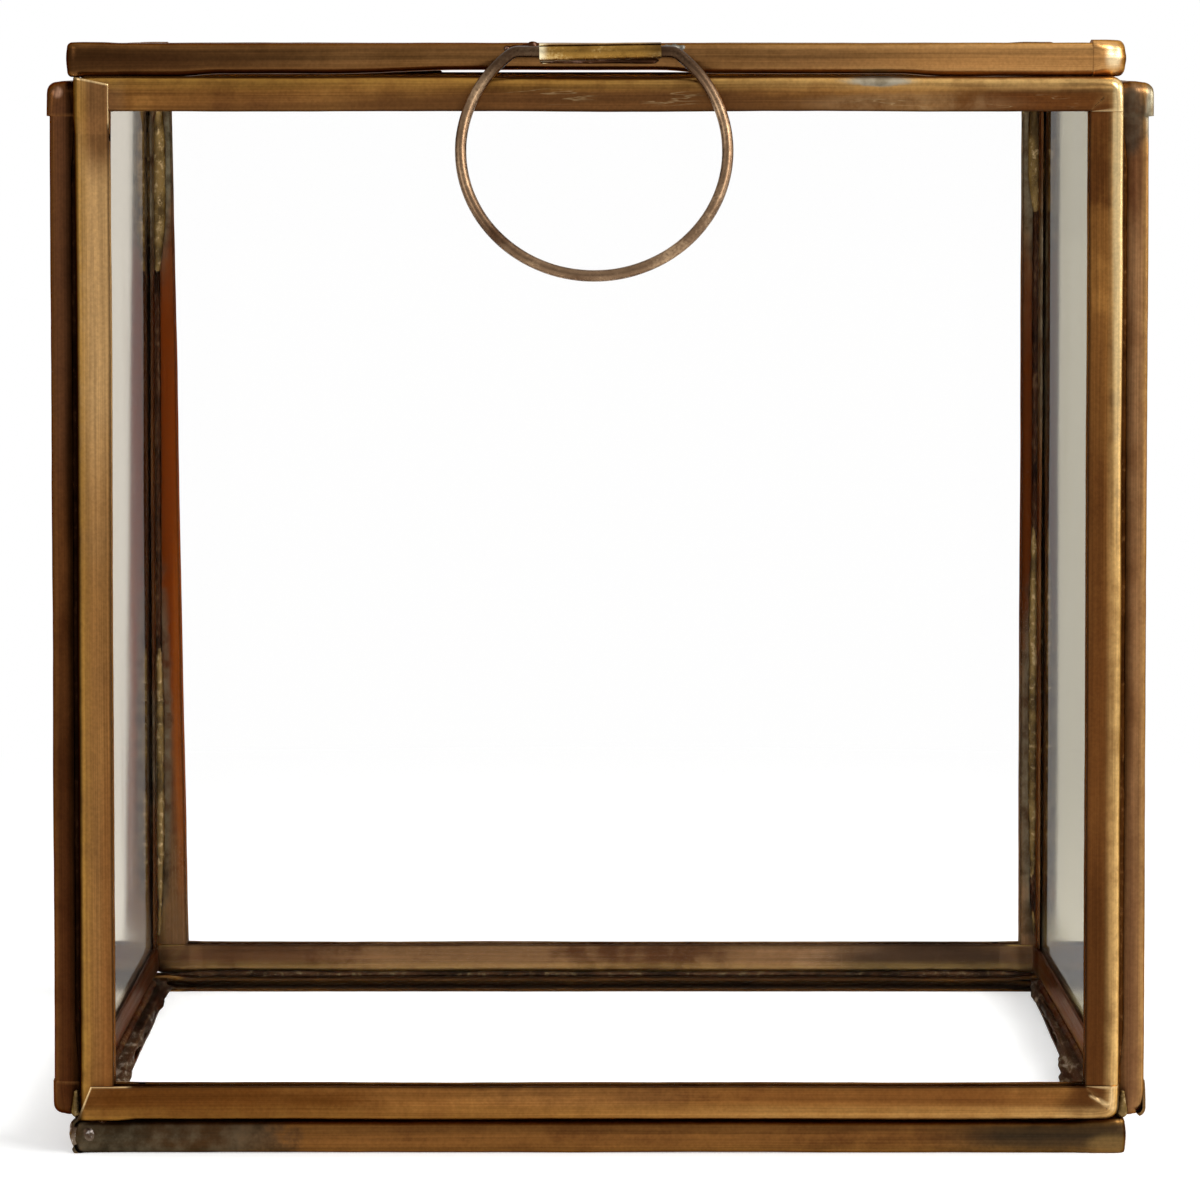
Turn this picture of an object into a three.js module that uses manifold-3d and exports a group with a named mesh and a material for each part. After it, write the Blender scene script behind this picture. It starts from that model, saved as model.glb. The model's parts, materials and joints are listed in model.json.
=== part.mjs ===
// Glass box: six framed panes soldered into a cube, with a hinged lid and a wire ring pull.
// Millimetres, +Z up. The front of the box faces -Y.

import * as THREE from 'three'
import { mergeVertices } from 'three/addons/utils/BufferGeometryUtils.js'
import Module from 'manifold-3d'

const wasm = await Module()
wasm.setup()

// Strip and glass
const stripThickness = 0.3
const glassThickness = 2.0
const paneFaceGap = 0.2
const paneEdgeGap = 0.4
const legWidth = 3.4
const edgeRadius = 0.75
const cornerRadius = 1.2

// Laps where the strip goes round a corner
const lapHeight = 0.3
const lapInset = 0.4
const lapRamp = 1.4
const lapSlant = 1.25

// Panels: the front and back walls, and how far the sides, the lid and the base differ from them
const wallWidth = 104.2
const wallHeight = 104.4
const boxDepth = 108.2
const sideDrop = 0.5
const coverOverhang = 0.8
const coverInset = 1.2
const lidShift = -0.4
const sideOverlap = 0.2
const panelGap = 0.05
const lidRestGap = 0.05

// Solder
const solderGap = 0.03
const innerFillet = 1.1
const outerFillet = 0.8
const filletHollow = 0.3
const footSolderRadius = 0.8
const footSolderHeight = 2.6
const seamEndGap = 0.2

// Hinge at the top of the back panel
const barrelRadius = 0.95
const barrelWall = 0.45
const barrelSlit = 0.3
const middleBarrelLength = 34
const sideBarrelLength = 16
const barrelEndGap = 0.4
const pinClearance = 0.05
const pinEnd = 0.5
const barrelWebGap = 0.1
const barrelRestGap = 0.65
const hingeFilletReach = 0.55
const hingeFilletDrop = 0.6

// Ring pull
const wireRadius = 0.57
const sleeveClearance = 0.05
const sleeveWall = 0.18
const sleeveLength = 12.1
const sleeveSlit = 0.3
const sleeveDrop = 0.02
const sleeveShift = 0.5
const ringShift = -0.6
const ringRadius = 13.2
const ringCentreDrop = 10.5
const ringBendRadius = 1.5
const ringEndGap = 0.3
const ringLean = THREE.MathUtils.degToRad(22)
const sleeveFilletDrop = 0.55

// Overruns and steps
const overrun = 1
const edgeSteps = 3
const cornerSteps = 4
const tubeSides = 24
const wireSides = 10
const ringSteps = 120
const beadSides = 14
const beadRings = 8
const arcSteps = 6

const panelThickness = glassThickness + 2 * paneFaceGap + 2 * stripThickness

// The lid and the base are alike: wider than the front wall, and set back from its face
const coverWidth = wallWidth + 2 * coverOverhang
const coverDepth = boxDepth - 2 * coverInset
const sideHeight = wallHeight - sideDrop

// Solder seams stop short of the laps
const lapReach = legWidth + lapRamp + seamEndGap

const brass = new THREE.MeshStandardMaterial({ color: 0x8f6a36, roughness: 0.42, metalness: 1 })
const darkBrass = new THREE.MeshStandardMaterial({ color: 0x5a4024, roughness: 0.5, metalness: 1 })
const clearGlass = new THREE.MeshStandardMaterial({
  color: 0xe6ece6, roughness: 0.03, metalness: 0, transparent: true, opacity: 0.25 })
const solderGrey = new THREE.MeshStandardMaterial({ color: 0x7c7868, roughness: 0.55, metalness: 1 })
const wireBrass = new THREE.MeshStandardMaterial({ color: 0x8a6840, roughness: 0.35, metalness: 1 })

// A closed geometry as a solid that can be cut and joined
function toSolid(geometry) {
  const bare = geometry.clone()
  bare.deleteAttribute('normal')
  bare.deleteAttribute('uv')
  const merged = mergeVertices(bare)
  return new wasm.Manifold(new wasm.Mesh({
    numProp: 3,
    vertProperties: merged.attributes.position.array,
    triVerts: new Uint32Array(merged.index.array) }))
}

function toGeometry(solid) {
  const mesh = solid.getMesh()
  const geometry = new THREE.BufferGeometry()
  geometry.setAttribute('position', new THREE.BufferAttribute(mesh.vertProperties, 3))
  geometry.setIndex(new THREE.BufferAttribute(mesh.triVerts, 1))
  geometry.computeVertexNormals()
  return geometry
}

function roundedRectangle(width, height, radius) {
  const x = width / 2 - radius
  const y = height / 2 - radius
  const shape = new THREE.Shape()
  shape.absarc(x, y, radius, 0, Math.PI / 2)
  shape.absarc(-x, y, radius, Math.PI / 2, Math.PI)
  shape.absarc(-x, -y, radius, Math.PI, 1.5 * Math.PI)
  shape.absarc(x, -y, radius, 1.5 * Math.PI, 2 * Math.PI)
  shape.closePath()
  return shape
}

// A plate lying in XY, centred on the origin, whose rim is rounded like a folded strip
function roundedPlate(width, height, thickness, corner, edge) {
  const outline = roundedRectangle(width - 2 * edge, height - 2 * edge, corner - edge)
  const plate = new THREE.ExtrudeGeometry(outline, {
    depth: thickness - 2 * edge,
    bevelThickness: edge,
    bevelSize: edge,
    bevelSegments: edgeSteps,
    curveSegments: cornerSteps })
  return plate.translate(0, 0, edge - thickness / 2)
}

// An outline, as [x, y] pairs, pulled straight along Z from z = start
function prism(points, length, start = 0) {
  const shape = new THREE.Shape(points.map(([x, y]) => new THREE.Vector2(x, y)))
  return new THREE.ExtrudeGeometry(shape, { depth: length, bevelEnabled: false }).translate(0, 0, start)
}

function arcPoints(x, y, radius, from, to) {
  const turn = (to - from) / arcSteps
  return Array.from({ length: arcSteps + 1 }, (_, step) => [
    x + radius * Math.cos(from + turn * step),
    y + radius * Math.sin(from + turn * step)])
}

// The hollow face of a fillet, from one toe to the other
function hollowPoints(from, to, pull) {
  const curve = new THREE.QuadraticBezierCurve(
    new THREE.Vector2(...from), new THREE.Vector2(...pull), new THREE.Vector2(...to))
  return curve.getPoints(arcSteps).slice(1, -1).map((point) => [point.x, point.y])
}

// Where the strip goes round a corner, one leg laps over the other and stands proud of it.
// The strip starts and ends at a corner where its cut end is slanted.
const wallLaps = [
  { x: -1, y: -1, over: 'rail', slanted: true },
  { x: 1, y: -1, over: 'rail', slanted: false },
  { x: 1, y: 1, over: 'rail', slanted: false },
  { x: -1, y: 1, over: 'stile', slanted: true }]
const rightLaps = [...wallLaps.slice(0, -1), { x: -1, y: 1, over: 'rail', slanted: false }]
const lidLaps = [
  { x: -1, y: -1, over: 'rail', slanted: false },
  { x: 1, y: -1, over: 'stile', slanted: false },
  { x: 1, y: 1, over: 'rail', slanted: true },
  { x: -1, y: 1, over: 'stile', slanted: false }]

function lapSolid(width, height, face, lap) {
  const alongSize = lap.over === 'rail' ? width : height
  const acrossSize = lap.over === 'rail' ? height : width
  const alongSign = lap.over === 'rail' ? lap.x : lap.y
  const acrossSign = lap.over === 'rail' ? lap.y : lap.x
  const along = (inset) => alongSign * (alongSize / 2 - inset)
  const across = (inset) => acrossSign * (acrossSize / 2 - inset)
  const slant = lap.slanted ? lapSlant : 0
  const root = panelThickness / 2 - stripThickness / 2
  const top = panelThickness / 2 + lapHeight

  // Seen square to the panel
  const plan = [
    [lapInset, lapInset], [legWidth + lapRamp, lapInset],
    [legWidth + lapRamp, legWidth], [lapInset + slant, legWidth]]
  const planPoints = plan.map(([a, b]) => (lap.over === 'rail' ? [along(a), across(b)] : [across(b), along(a)]))
  const block = toSolid(prism(planPoints, top - root, face > 0 ? root : -top))

  // Seen along the edge of the panel: flat over the corner, then a ramp down to the leg
  const side = [[0, root], [0, top], [legWidth, top], [legWidth + lapRamp, root]]
  const sidePoints = side.map(([a, z]) => [along(a), face * z])
  const wedge = prism(sidePoints, legWidth + 2 * overrun)
  wedge.rotateX(Math.PI / 2)
  wedge.translate(0, across(legWidth / 2) + legWidth / 2 + overrun, 0)
  if (lap.over === 'stile') {
    wedge.translate(0, -2 * across(legWidth / 2), 0)
    wedge.rotateZ(Math.PI / 2)
  }
  return block.intersect(toSolid(wedge))
}

// The folded strip round one pane, lying in XY with its outer face at +Z
function channelGeometry(width, height, laps) {
  const outside = roundedPlate(width, height, panelThickness, cornerRadius, edgeRadius)
  const bed = roundedPlate(
    width - 2 * stripThickness, height - 2 * stripThickness, panelThickness - 2 * stripThickness,
    cornerRadius - stripThickness, edgeRadius - stripThickness)
  const x = width / 2 - legWidth
  const y = height / 2 - legWidth
  const depth = panelThickness + 2 * overrun
  const window = prism([[-x, -y], [x, -y], [x, y], [-x, y]], depth, -depth / 2)
  let solid = toSolid(outside).subtract(toSolid(bed)).subtract(toSolid(window))
  for (const face of [1, -1]) {
    for (const lap of laps) {
      solid = solid.add(lapSolid(width, height, face, lap))
    }
  }
  return toGeometry(solid)
}

function paneGeometry(width, height) {
  const rim = stripThickness + paneEdgeGap
  const x = width / 2 - rim
  const y = height / 2 - rim
  return prism([[-x, -y], [x, -y], [x, y], [-x, y]], glassThickness, -glassThickness / 2)
}

function part(name, geometry, material) {
  const mesh = new THREE.Mesh(geometry, material)
  mesh.name = name
  return mesh
}

// One framed pane, as a group of its strip and its glass
function panel(name, width, height, laps = wallLaps) {
  const group = new THREE.Group()
  group.add(part(`${name}_channel`, channelGeometry(width, height, laps), brass))
  group.add(part(`${name}_glass`, paneGeometry(width, height), clearGlass))
  return group
}

const glassBox = new THREE.Group()

// Heights, from the flat laps under the base
const baseTop = lapHeight + panelThickness
const wallBottom = baseTop + lapHeight
const wallTop = wallBottom + wallHeight
const lidBottom = wallTop + lidRestGap + lapHeight
const lidTop = lidBottom + panelThickness

// Depths and widths
const wallFace = boxDepth / 2
const wallInside = wallFace - panelThickness
const sideDepth = 2 * (wallInside - panelGap)
const sideInside = wallWidth / 2 - sideOverlap
const sideFace = sideInside + panelThickness

function addWalls() {
  const middle = wallBottom + wallHeight / 2
  const front = panel('front', wallWidth, wallHeight)
  front.rotation.set(Math.PI / 2, 0, 0)
  front.position.set(0, -wallFace + panelThickness / 2, middle)
  const back = panel('back', wallWidth, wallHeight)
  back.rotation.set(Math.PI / 2, Math.PI, 0)
  back.position.set(0, wallFace - panelThickness / 2, middle)
  glassBox.add(front, back)
  for (const [name, sign, laps] of [['left', -1, wallLaps], ['right', 1, rightLaps]]) {
    const side = panel(name, sideDepth, sideHeight, laps)
    side.rotation.set(Math.PI / 2, sign * Math.PI / 2, 0)
    side.position.set(sign * (sideInside + panelThickness / 2), 0, wallBottom + sideHeight / 2)
    glassBox.add(side)
  }
}

function addBase() {
  const base = panel('base', coverWidth, coverDepth)
  base.rotation.set(Math.PI, 0, 0)
  base.position.set(0, 0, baseTop - panelThickness / 2)
  glassBox.add(base)
}

function addLid() {
  const lid = panel('lid', coverWidth, coverDepth, lidLaps)
  lid.position.set(lidShift, 0, lidTop - panelThickness / 2)
  glassBox.add(lid)
}

// Upright solder joint: it fills the inside corner, runs through between the two rounded edges
// and stands as a second fillet in the notch outside
function addCornerSeams() {
  const wallRound = [wallWidth / 2 - edgeRadius, wallInside + edgeRadius]
  const sideRound = [sideInside + edgeRadius, sideDepth / 2 - edgeRadius]
  const reach = edgeRadius + solderGap
  const wallToe = [sideInside - innerFillet, wallInside - solderGap]
  const sideToe = [sideInside - solderGap, sideRound[1] - innerFillet / 2]
  const notchWallToe = [wallWidth / 2 + solderGap, wallRound[1] + outerFillet]
  const notchSideToe = [sideRound[0] + outerFillet, sideDepth / 2 + solderGap]
  const outline = [
    wallToe,
    ...arcPoints(...wallRound, reach, -Math.PI / 2, 0),
    notchWallToe,
    ...hollowPoints(notchWallToe, notchSideToe, [notchWallToe[0] + filletHollow, notchSideToe[1] + filletHollow]),
    notchSideToe,
    ...arcPoints(...sideRound, reach, Math.PI / 2, Math.PI),
    sideToe,
    ...hollowPoints(sideToe, wallToe, [sideInside - filletHollow, wallInside - filletHollow])]
  const bottom = wallBottom + lapReach
  const top = wallBottom + sideHeight - lapReach
  for (const [yName, ySign] of [['front', -1], ['back', 1]]) {
    for (const [xName, xSign] of [['left', -1], ['right', 1]]) {
      const points = outline.map(([x, y]) => [xSign * x, ySign * y])
      glassBox.add(part(`corner_seam_${yName}_${xName}`, prism(points, top - bottom, bottom), solderGrey))
    }
  }
}

// Solder fillet between the foot of a wall and the base, seen in section: u runs outwards, v upwards
function baseSeamGeometry(inside, panelWidth) {
  const reach = edgeRadius + solderGap
  const round = [inside + edgeRadius, wallBottom + edgeRadius]
  const wedge = arcPoints(...round, reach, 1.25 * Math.PI, Math.PI)
  const floor = baseTop + solderGap
  const baseToe = [inside - innerFillet, floor]
  const wallToe = [inside - solderGap, round[1] + innerFillet / 2]
  const outline = [
    baseToe, [wedge[0][0], floor], ...wedge, wallToe,
    ...hollowPoints(wallToe, baseToe, [inside - filletHollow, floor + filletHollow])]
  const length = panelWidth - 2 * lapReach
  return prism(outline, length, -length / 2)
}

function addBaseSeams() {
  const seams = [
    ['front', wallInside, wallWidth, -Math.PI / 2], ['back', wallInside, wallWidth, Math.PI / 2],
    ['left', sideInside, sideDepth, Math.PI], ['right', sideInside, sideDepth, 0]]
  for (const [name, inside, width, turn] of seams) {
    const seam = part(`base_seam_${name}`, baseSeamGeometry(inside, width), solderGrey)
    const upright = new THREE.Group()
    seam.rotation.x = Math.PI / 2
    upright.rotation.z = turn
    upright.add(seam)
    glassBox.add(upright)
  }
}

// Lump of solder in the notch at the foot of each corner, on the lap of the base
function addFootSolder() {
  const height = footSolderHeight / 2
  const x = wallWidth / 2 + solderGap + footSolderRadius
  const y = sideDepth / 2 + solderGap + footSolderRadius
  for (const [yName, ySign] of [['front', -1], ['back', 1]]) {
    for (const [xName, xSign] of [['left', -1], ['right', 1]]) {
      const bead = new THREE.SphereGeometry(1, beadSides, beadRings)
      bead.rotateX(Math.PI / 2)
      bead.scale(footSolderRadius, footSolderRadius, height)
      bead.translate(xSign * x, ySign * y, wallBottom + solderGap + height)
      glassBox.add(part(`foot_solder_${yName}_${xName}`, bead, solderGrey))
    }
  }
}

// A rolled tube along X, centred on the origin, with its seam turned to the angle "seam"
function rolledTube(length, radius, wall, slit, seam) {
  const outerHalf = slit / 2 / radius
  const innerHalf = slit / 2 / (radius - wall)
  const shape = new THREE.Shape()
  shape.absarc(0, 0, radius, seam + outerHalf, seam - outerHalf + 2 * Math.PI, false)
  shape.absarc(0, 0, radius - wall, seam - innerHalf + 2 * Math.PI, seam + innerHalf, true)
  shape.closePath()
  const tube = new THREE.ExtrudeGeometry(shape, {
    depth: length, bevelEnabled: false, curveSegments: tubeSides / 2 })
  return alongX(tube.translate(0, 0, -length / 2))
}

// Turns a section drawn in (y, z) and pulled along its third axis, so that it runs along X
function alongX(geometry) {
  return geometry.rotateX(Math.PI / 2).rotateZ(Math.PI / 2)
}

// Hinge axis, behind the back edge of the lid and above the back panel
const hingeY = coverDepth / 2 + barrelWebGap + barrelRadius
const hingeZ = wallTop + barrelRestGap + barrelRadius
const pinRadius = barrelRadius - barrelWall - pinClearance

function addHinge() {
  const sidePlace = middleBarrelLength / 2 + barrelEndGap + sideBarrelLength / 2
  const pinLength = 2 * (sidePlace + sideBarrelLength / 2 + pinEnd)
  const barrels = [
    ['middle', 0, middleBarrelLength, Math.PI],
    ['left', -sidePlace, sideBarrelLength, -Math.PI / 2],
    ['right', sidePlace, sideBarrelLength, -Math.PI / 2]]
  for (const [name, x, length, seam] of barrels) {
    const barrel = part(
      `hinge_barrel_${name}`, rolledTube(length, barrelRadius, barrelWall, barrelSlit, seam), darkBrass)
    barrel.position.set(lidShift + x, hingeY, hingeZ)
    glassBox.add(barrel)
    const section = name === 'middle' ? lidFilletOutline() : panelFilletOutline()
    const fillet = part(`hinge_solder_${name}`, alongX(prism(section, length, -length / 2)), solderGrey)
    fillet.position.set(lidShift + x, hingeY, hingeZ)
    glassBox.add(fillet)
  }
  const wire = new THREE.CylinderGeometry(pinRadius, pinRadius, pinLength, tubeSides).rotateZ(Math.PI / 2)
  const pin = part('hinge_pin', wire, wireBrass)
  pin.position.set(lidShift, hingeY, hingeZ)
  glassBox.add(pin)
}

// Solder under a side barrel, down over the top fold of the back panel (y, z from the axis)
function panelFilletOutline() {
  const face = wallFace - hingeY
  const reach = barrelRadius + solderGap
  const round = [face - edgeRadius, wallTop - edgeRadius - hingeZ]
  const barrel = arcPoints(0, 0, reach, -Math.PI / 2, -Math.PI / 6)
  const rim = arcPoints(...round, edgeRadius + solderGap, 0, Math.PI / 2)
  const toe = [face + solderGap, round[1] - hingeFilletDrop]
  return [...barrel, ...hollowPoints(barrel.at(-1), toe, [face + filletHollow, round[1] + filletHollow]), toe, ...rim]
}

// Solder over the middle barrel, up to the back edge of the lid (y, z from the axis)
function lidFilletOutline() {
  const web = coverDepth / 2 - hingeY + solderGap
  const reach = barrelRadius + solderGap
  const toe = [web, lidTop - edgeRadius - hingeZ]
  const low = [web, barrelRadius - hingeFilletDrop]
  const from = Math.PI - Math.asin(low[1] / reach)
  const to = Math.PI - Math.acos(hingeFilletReach / reach)
  const barrel = arcPoints(0, 0, reach, from, to)
  return [toe, low, ...barrel, ...hollowPoints(barrel.at(-1), toe, [web + filletHollow, barrel.at(-1)[1] + filletHollow])]
}

// Sleeve axis, in front of the lid and level with the upper half of its edge
const sleeveRadius = wireRadius + sleeveClearance + sleeveWall
const sleeveY = -coverDepth / 2 - solderGap - sleeveRadius
const sleeveZ = lidTop - sleeveDrop - sleeveRadius

function addSleeve() {
  const x = lidShift + sleeveShift
  const tube = rolledTube(sleeveLength, sleeveRadius, sleeveWall, sleeveSlit, -Math.PI / 4)
  const sleeve = part('ring_sleeve', tube, brass)
  sleeve.position.set(x, sleeveY, sleeveZ)

  // Solder under the sleeve, in the angle between it and the edge of the lid
  const web = -coverDepth / 2 - solderGap - sleeveY
  const barrel = arcPoints(0, 0, sleeveRadius + solderGap, -Math.PI / 2, -Math.PI / 7)
  const toe = [web, barrel[0][1] - sleeveFilletDrop]
  const outline = [
    ...barrel, [web, barrel.at(-1)[1]], toe,
    ...hollowPoints(toe, barrel[0], [web - filletHollow, barrel[0][1] - filletHollow])]
  const solder = part('sleeve_solder', alongX(prism(outline, sleeveLength, -sleeveLength / 2)), solderGrey)
  solder.position.copy(sleeve.position)
  glassBox.add(sleeve, solder)
}

// The wire of the ring: straight through the sleeve, a bend at each end, and a round loop below.
// It starts and ends inside the sleeve, where the two cut ends face each other.
class RingPath extends THREE.CurvePath {
  constructor() {
    super()
    const bend = ringBendRadius
    const loop = ringRadius
    // The bend circle touches the straight wire from below and the loop from inside
    const bendX = Math.sqrt((loop - bend) ** 2 - (ringCentreDrop - bend) ** 2)
    const turn = Math.atan2(bendX, ringCentreDrop - bend)
    const gap = ringEndGap / 2
    this.add(new THREE.LineCurve3(new THREE.Vector3(gap, 0, 0), new THREE.Vector3(bendX, 0, 0)))
    this.add(new FlatArc(bendX, -bend, bend, Math.PI / 2, Math.PI / 2 - turn))
    this.add(new FlatArc(0, -ringCentreDrop, loop, Math.PI / 2 - turn, turn - 1.5 * Math.PI))
    this.add(new FlatArc(-bendX, -bend, bend, Math.PI / 2 + turn, Math.PI / 2))
    this.add(new THREE.LineCurve3(new THREE.Vector3(-bendX, 0, 0), new THREE.Vector3(-gap, 0, 0)))
  }
}

class FlatArc extends THREE.Curve {
  constructor(x, z, radius, from, to) {
    super()
    Object.assign(this, { x, z, radius, from, to })
  }

  getPoint(share, target = new THREE.Vector3()) {
    const angle = this.from + (this.to - this.from) * share
    return target.set(this.x + this.radius * Math.cos(angle), 0, this.z + this.radius * Math.sin(angle))
  }
}

function addRing() {
  const section = new THREE.Shape()
  section.absarc(0, 0, wireRadius, 0, 2 * Math.PI)
  const wire = new THREE.ExtrudeGeometry(section, {
    extrudePath: new RingPath(), steps: ringSteps, curveSegments: wireSides / 2 })
  const ring = part('ring_handle', wire, wireBrass)
  ring.rotation.x = -ringLean
  ring.position.set(lidShift + ringShift + sleeveShift, sleeveY, sleeveZ)
  glassBox.add(ring)
}

addBase()
addWalls()
addLid()
addCornerSeams()
addBaseSeams()
addFootSolder()
addHinge()
addSleeve()
addRing()

// The origin lies under the middle of the whole box, ring and hinge included
glassBox.updateMatrixWorld(true)
const extent = new THREE.Box3().setFromObject(glassBox, true)
const middle = extent.getCenter(new THREE.Vector3())
glassBox.position.set(-middle.x, -middle.y, -extent.min.z)

export default glassBox
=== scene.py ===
# %% [markdown]
# # A glass box in folded brass strip
# The box is six panes of glass. Each pane is edged all round by one folded strip of brass, and the
# framed panes are soldered into a cube. The lid swings on a wire hinge and is lifted by a wire ring.
# This lesson dresses the finished CAD frame: it shapes the folded strip, the solder and the wire,
# and gives each of them an old, hand-worked finish.

import json
import math

import bmesh
import bpy
from mathutils import Matrix, Vector, noise


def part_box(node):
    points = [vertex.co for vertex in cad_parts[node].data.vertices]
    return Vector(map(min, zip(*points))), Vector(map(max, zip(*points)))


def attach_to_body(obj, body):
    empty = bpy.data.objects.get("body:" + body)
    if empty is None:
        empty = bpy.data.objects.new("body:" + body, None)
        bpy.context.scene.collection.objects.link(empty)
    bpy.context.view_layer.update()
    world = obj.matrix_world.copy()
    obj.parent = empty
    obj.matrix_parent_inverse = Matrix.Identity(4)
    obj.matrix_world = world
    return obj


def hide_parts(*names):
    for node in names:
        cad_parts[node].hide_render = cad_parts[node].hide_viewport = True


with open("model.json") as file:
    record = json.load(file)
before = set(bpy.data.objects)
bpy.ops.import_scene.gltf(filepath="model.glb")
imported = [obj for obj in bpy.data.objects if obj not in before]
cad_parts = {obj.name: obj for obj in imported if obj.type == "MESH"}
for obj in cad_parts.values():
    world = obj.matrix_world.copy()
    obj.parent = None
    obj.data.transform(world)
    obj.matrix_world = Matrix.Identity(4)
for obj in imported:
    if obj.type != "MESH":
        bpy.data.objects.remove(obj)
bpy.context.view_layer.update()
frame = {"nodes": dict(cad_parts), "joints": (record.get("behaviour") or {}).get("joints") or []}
MM = 0.001
collection = bpy.context.scene.collection


def add_object(name, data):
    """A new object in the scene, at the origin and unturned."""
    made = bpy.data.objects.new(name, data)
    collection.objects.link(made)
    return made


def attach(made, body, slot, *nodes):
    """Gives a finished piece its body and hides the nodes that it stands for. The slot is not used."""
    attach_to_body(made, body)
    if nodes:
        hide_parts(*nodes)


print("nodes in the frame:", len(frame["nodes"]))

# %% [markdown]
# ## The camera
# The photograph looks straight at the front from lid height: the top of the lid is seen edge on and
# the two upright edges stay nearly parallel. A long lens and a small shift give that, with a slight
# tilt that brings the foot of the box into the frame.

# %% Set the camera
CAMERA_PLACE = Vector((0.00007, -0.7146, 0.1116))
CAMERA_TILT = math.radians(86.24)
CAMERA_LENS = 200.5
CAMERA_SENSOR = 36
CAMERA_SHIFT = -0.1

camera_data = bpy.data.cameras.new("photo_camera")
camera_data.sensor_width = CAMERA_SENSOR
camera_data.lens = CAMERA_LENS
camera_data.shift_y = CAMERA_SHIFT
camera = add_object("photo_camera", camera_data)
camera.location = CAMERA_PLACE
camera.rotation_euler = (CAMERA_TILT, 0, 0)
bpy.context.scene.camera = camera
bpy.context.scene.view_settings.view_transform = "Standard"
print("lens", camera_data.lens, "mm, shift", camera_data.shift_y)

# %% [markdown]
# ## Small helpers for shader nodes
# Every material below is a node tree written by hand. Small helpers keep the trees short. They add a
# node and fill its inputs, turn a hex colour into the linear values that shaders use, make a soft
# step between two limits, do sums, and lay one colour over another.

# %% Node helpers
def colour(code):
    """A hex colour such as 8a5a20 as linear RGBA."""
    parts = [int(code[i:i + 2], 16) / 255 for i in (0, 2, 4)]
    return (*[((c + 0.055) / 1.055) ** 2.4 if c > 0.04045 else c / 12.92 for c in parts], 1)


def feed(tree, socket, value):
    """Fills a socket with a plain value or with another node's output."""
    if isinstance(value, bpy.types.NodeSocket):
        tree.links.new(value, socket)
    else:
        socket.default_value = value


def put(tree, kind, inputs=None, **settings):
    """A new node with its settings and its inputs."""
    made = tree.nodes.new(kind)
    for name, value in settings.items():
        setattr(made, name, value)
    for name, value in (inputs or {}).items():
        feed(tree, made.inputs[name], value)
    return made


def soft_step(tree, value, low, high, to_low=0.0, to_high=1.0):
    inputs = {"Value": value, "From Min": low, "From Max": high, "To Min": to_low, "To Max": to_high}
    return put(tree, "ShaderNodeMapRange", inputs, interpolation_type="SMOOTHSTEP").outputs["Result"]


def calculate(tree, operation, first, second=0.0):
    return put(tree, "ShaderNodeMath", {0: first, 1: second}, operation=operation).outputs["Value"]


def times(tree, first, second):
    return calculate(tree, "MULTIPLY", first, second)


def plus(tree, first, second):
    return calculate(tree, "ADD", first, second)


def swing(tree, value, amount):
    """Noise that runs from 0 to 1, moved so that it swings round zero by an amount."""
    return times(tree, calculate(tree, "SUBTRACT", value, 0.5), amount)


def blend(tree, amount, under, over, mode="MIX"):
    """Colour over laid on colour under by the given amount. A colour may be a hex code."""
    made = put(tree, "ShaderNodeMix", data_type="RGBA", blend_type=mode)
    for index, value in ((0, amount), (6, under), (7, over)):
        feed(tree, made.inputs[index], colour(value) if isinstance(value, str) else value)
    return made.outputs[2]


def grain(tree, vector, scale, detail=3.0, roughness=0.55):
    inputs = {"Vector": vector, "Scale": scale, "Detail": detail, "Roughness": roughness}
    return put(tree, "ShaderNodeTexNoise", inputs).outputs["Fac"]


def stretched(tree, vector, scale, move=(0, 0, 0)):
    inputs = {"Vector": vector, "Location": move, "Scale": scale}
    return put(tree, "ShaderNodeMapping", inputs).outputs["Vector"]


def object_place(tree):
    """A point's place on its object, whole and as X, Y and Z."""
    place = put(tree, "ShaderNodeTexCoord").outputs["Object"]
    return place, put(tree, "ShaderNodeSeparateXYZ", {0: place}).outputs


def new_material(name):
    material = bpy.data.materials.new(name)
    material.use_nodes = True
    tree = material.node_tree
    return material, tree, tree.nodes["Principled BSDF"]


def finish_metal(tree, shader, tone, rough, height, strength, distance, under=None):
    """Gives a metal its colour, its gloss and a fine relief, which may lie over a wider one."""
    bump = put(tree, "ShaderNodeBump", {"Height": height, "Strength": strength, "Distance": distance})
    if under is not None:
        tree.links.new(under, bump.inputs["Normal"])
    for name, value in (("Base Color", tone), ("Roughness", rough), ("Normal", bump.outputs["Normal"])):
        tree.links.new(value, shader.inputs[name])
    shader.inputs["Metallic"].default_value = 1.0

# %% [markdown]
# ## Old brass
# The strip is brass that was coloured dark in a bath and then rubbed back by hand. So it has three
# layers: a dark brown in the hollows, a middle brown with reddish clouds, and bright metal where
# the folds and cut ends were rubbed. The rubbing also left fine lines along the strip. The lines
# need to follow the strip round the frame, so they read the mesh's own UV map, which holds the
# length along the strip and the distance across it. The clouds read Object coordinates.

# %% Patches of another tone
def patch(tree, place, centre, reach, edge_noise, raggedness, softness=0.6):
    """1 round a centre, fading to 0 at the reach on each axis. Sizes in millimetres."""
    scale = [1 / (r * MM) for r in reach]
    move = [-c * MM * s for c, s in zip(centre, scale)]
    distance = put(tree, "ShaderNodeVectorMath", {0: stretched(tree, place, scale, move)}, operation="LENGTH")
    edge = plus(tree, distance.outputs["Value"], swing(tree, edge_noise, raggedness))
    return soft_step(tree, edge, 1.0 - softness, 1.0, 1.0, 0.0)


def dabbed(tree, place, tone, dabs, edge_noise, raggedness):
    """A tone with patches of other tones over it, each given as (centre, reach, colour, amount)."""
    for centre, reach, code, amount in dabs:
        share = times(tree, patch(tree, place, centre, reach, edge_noise, raggedness), amount)
        tone = blend(tree, share, tone, code)
    return tone


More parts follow.
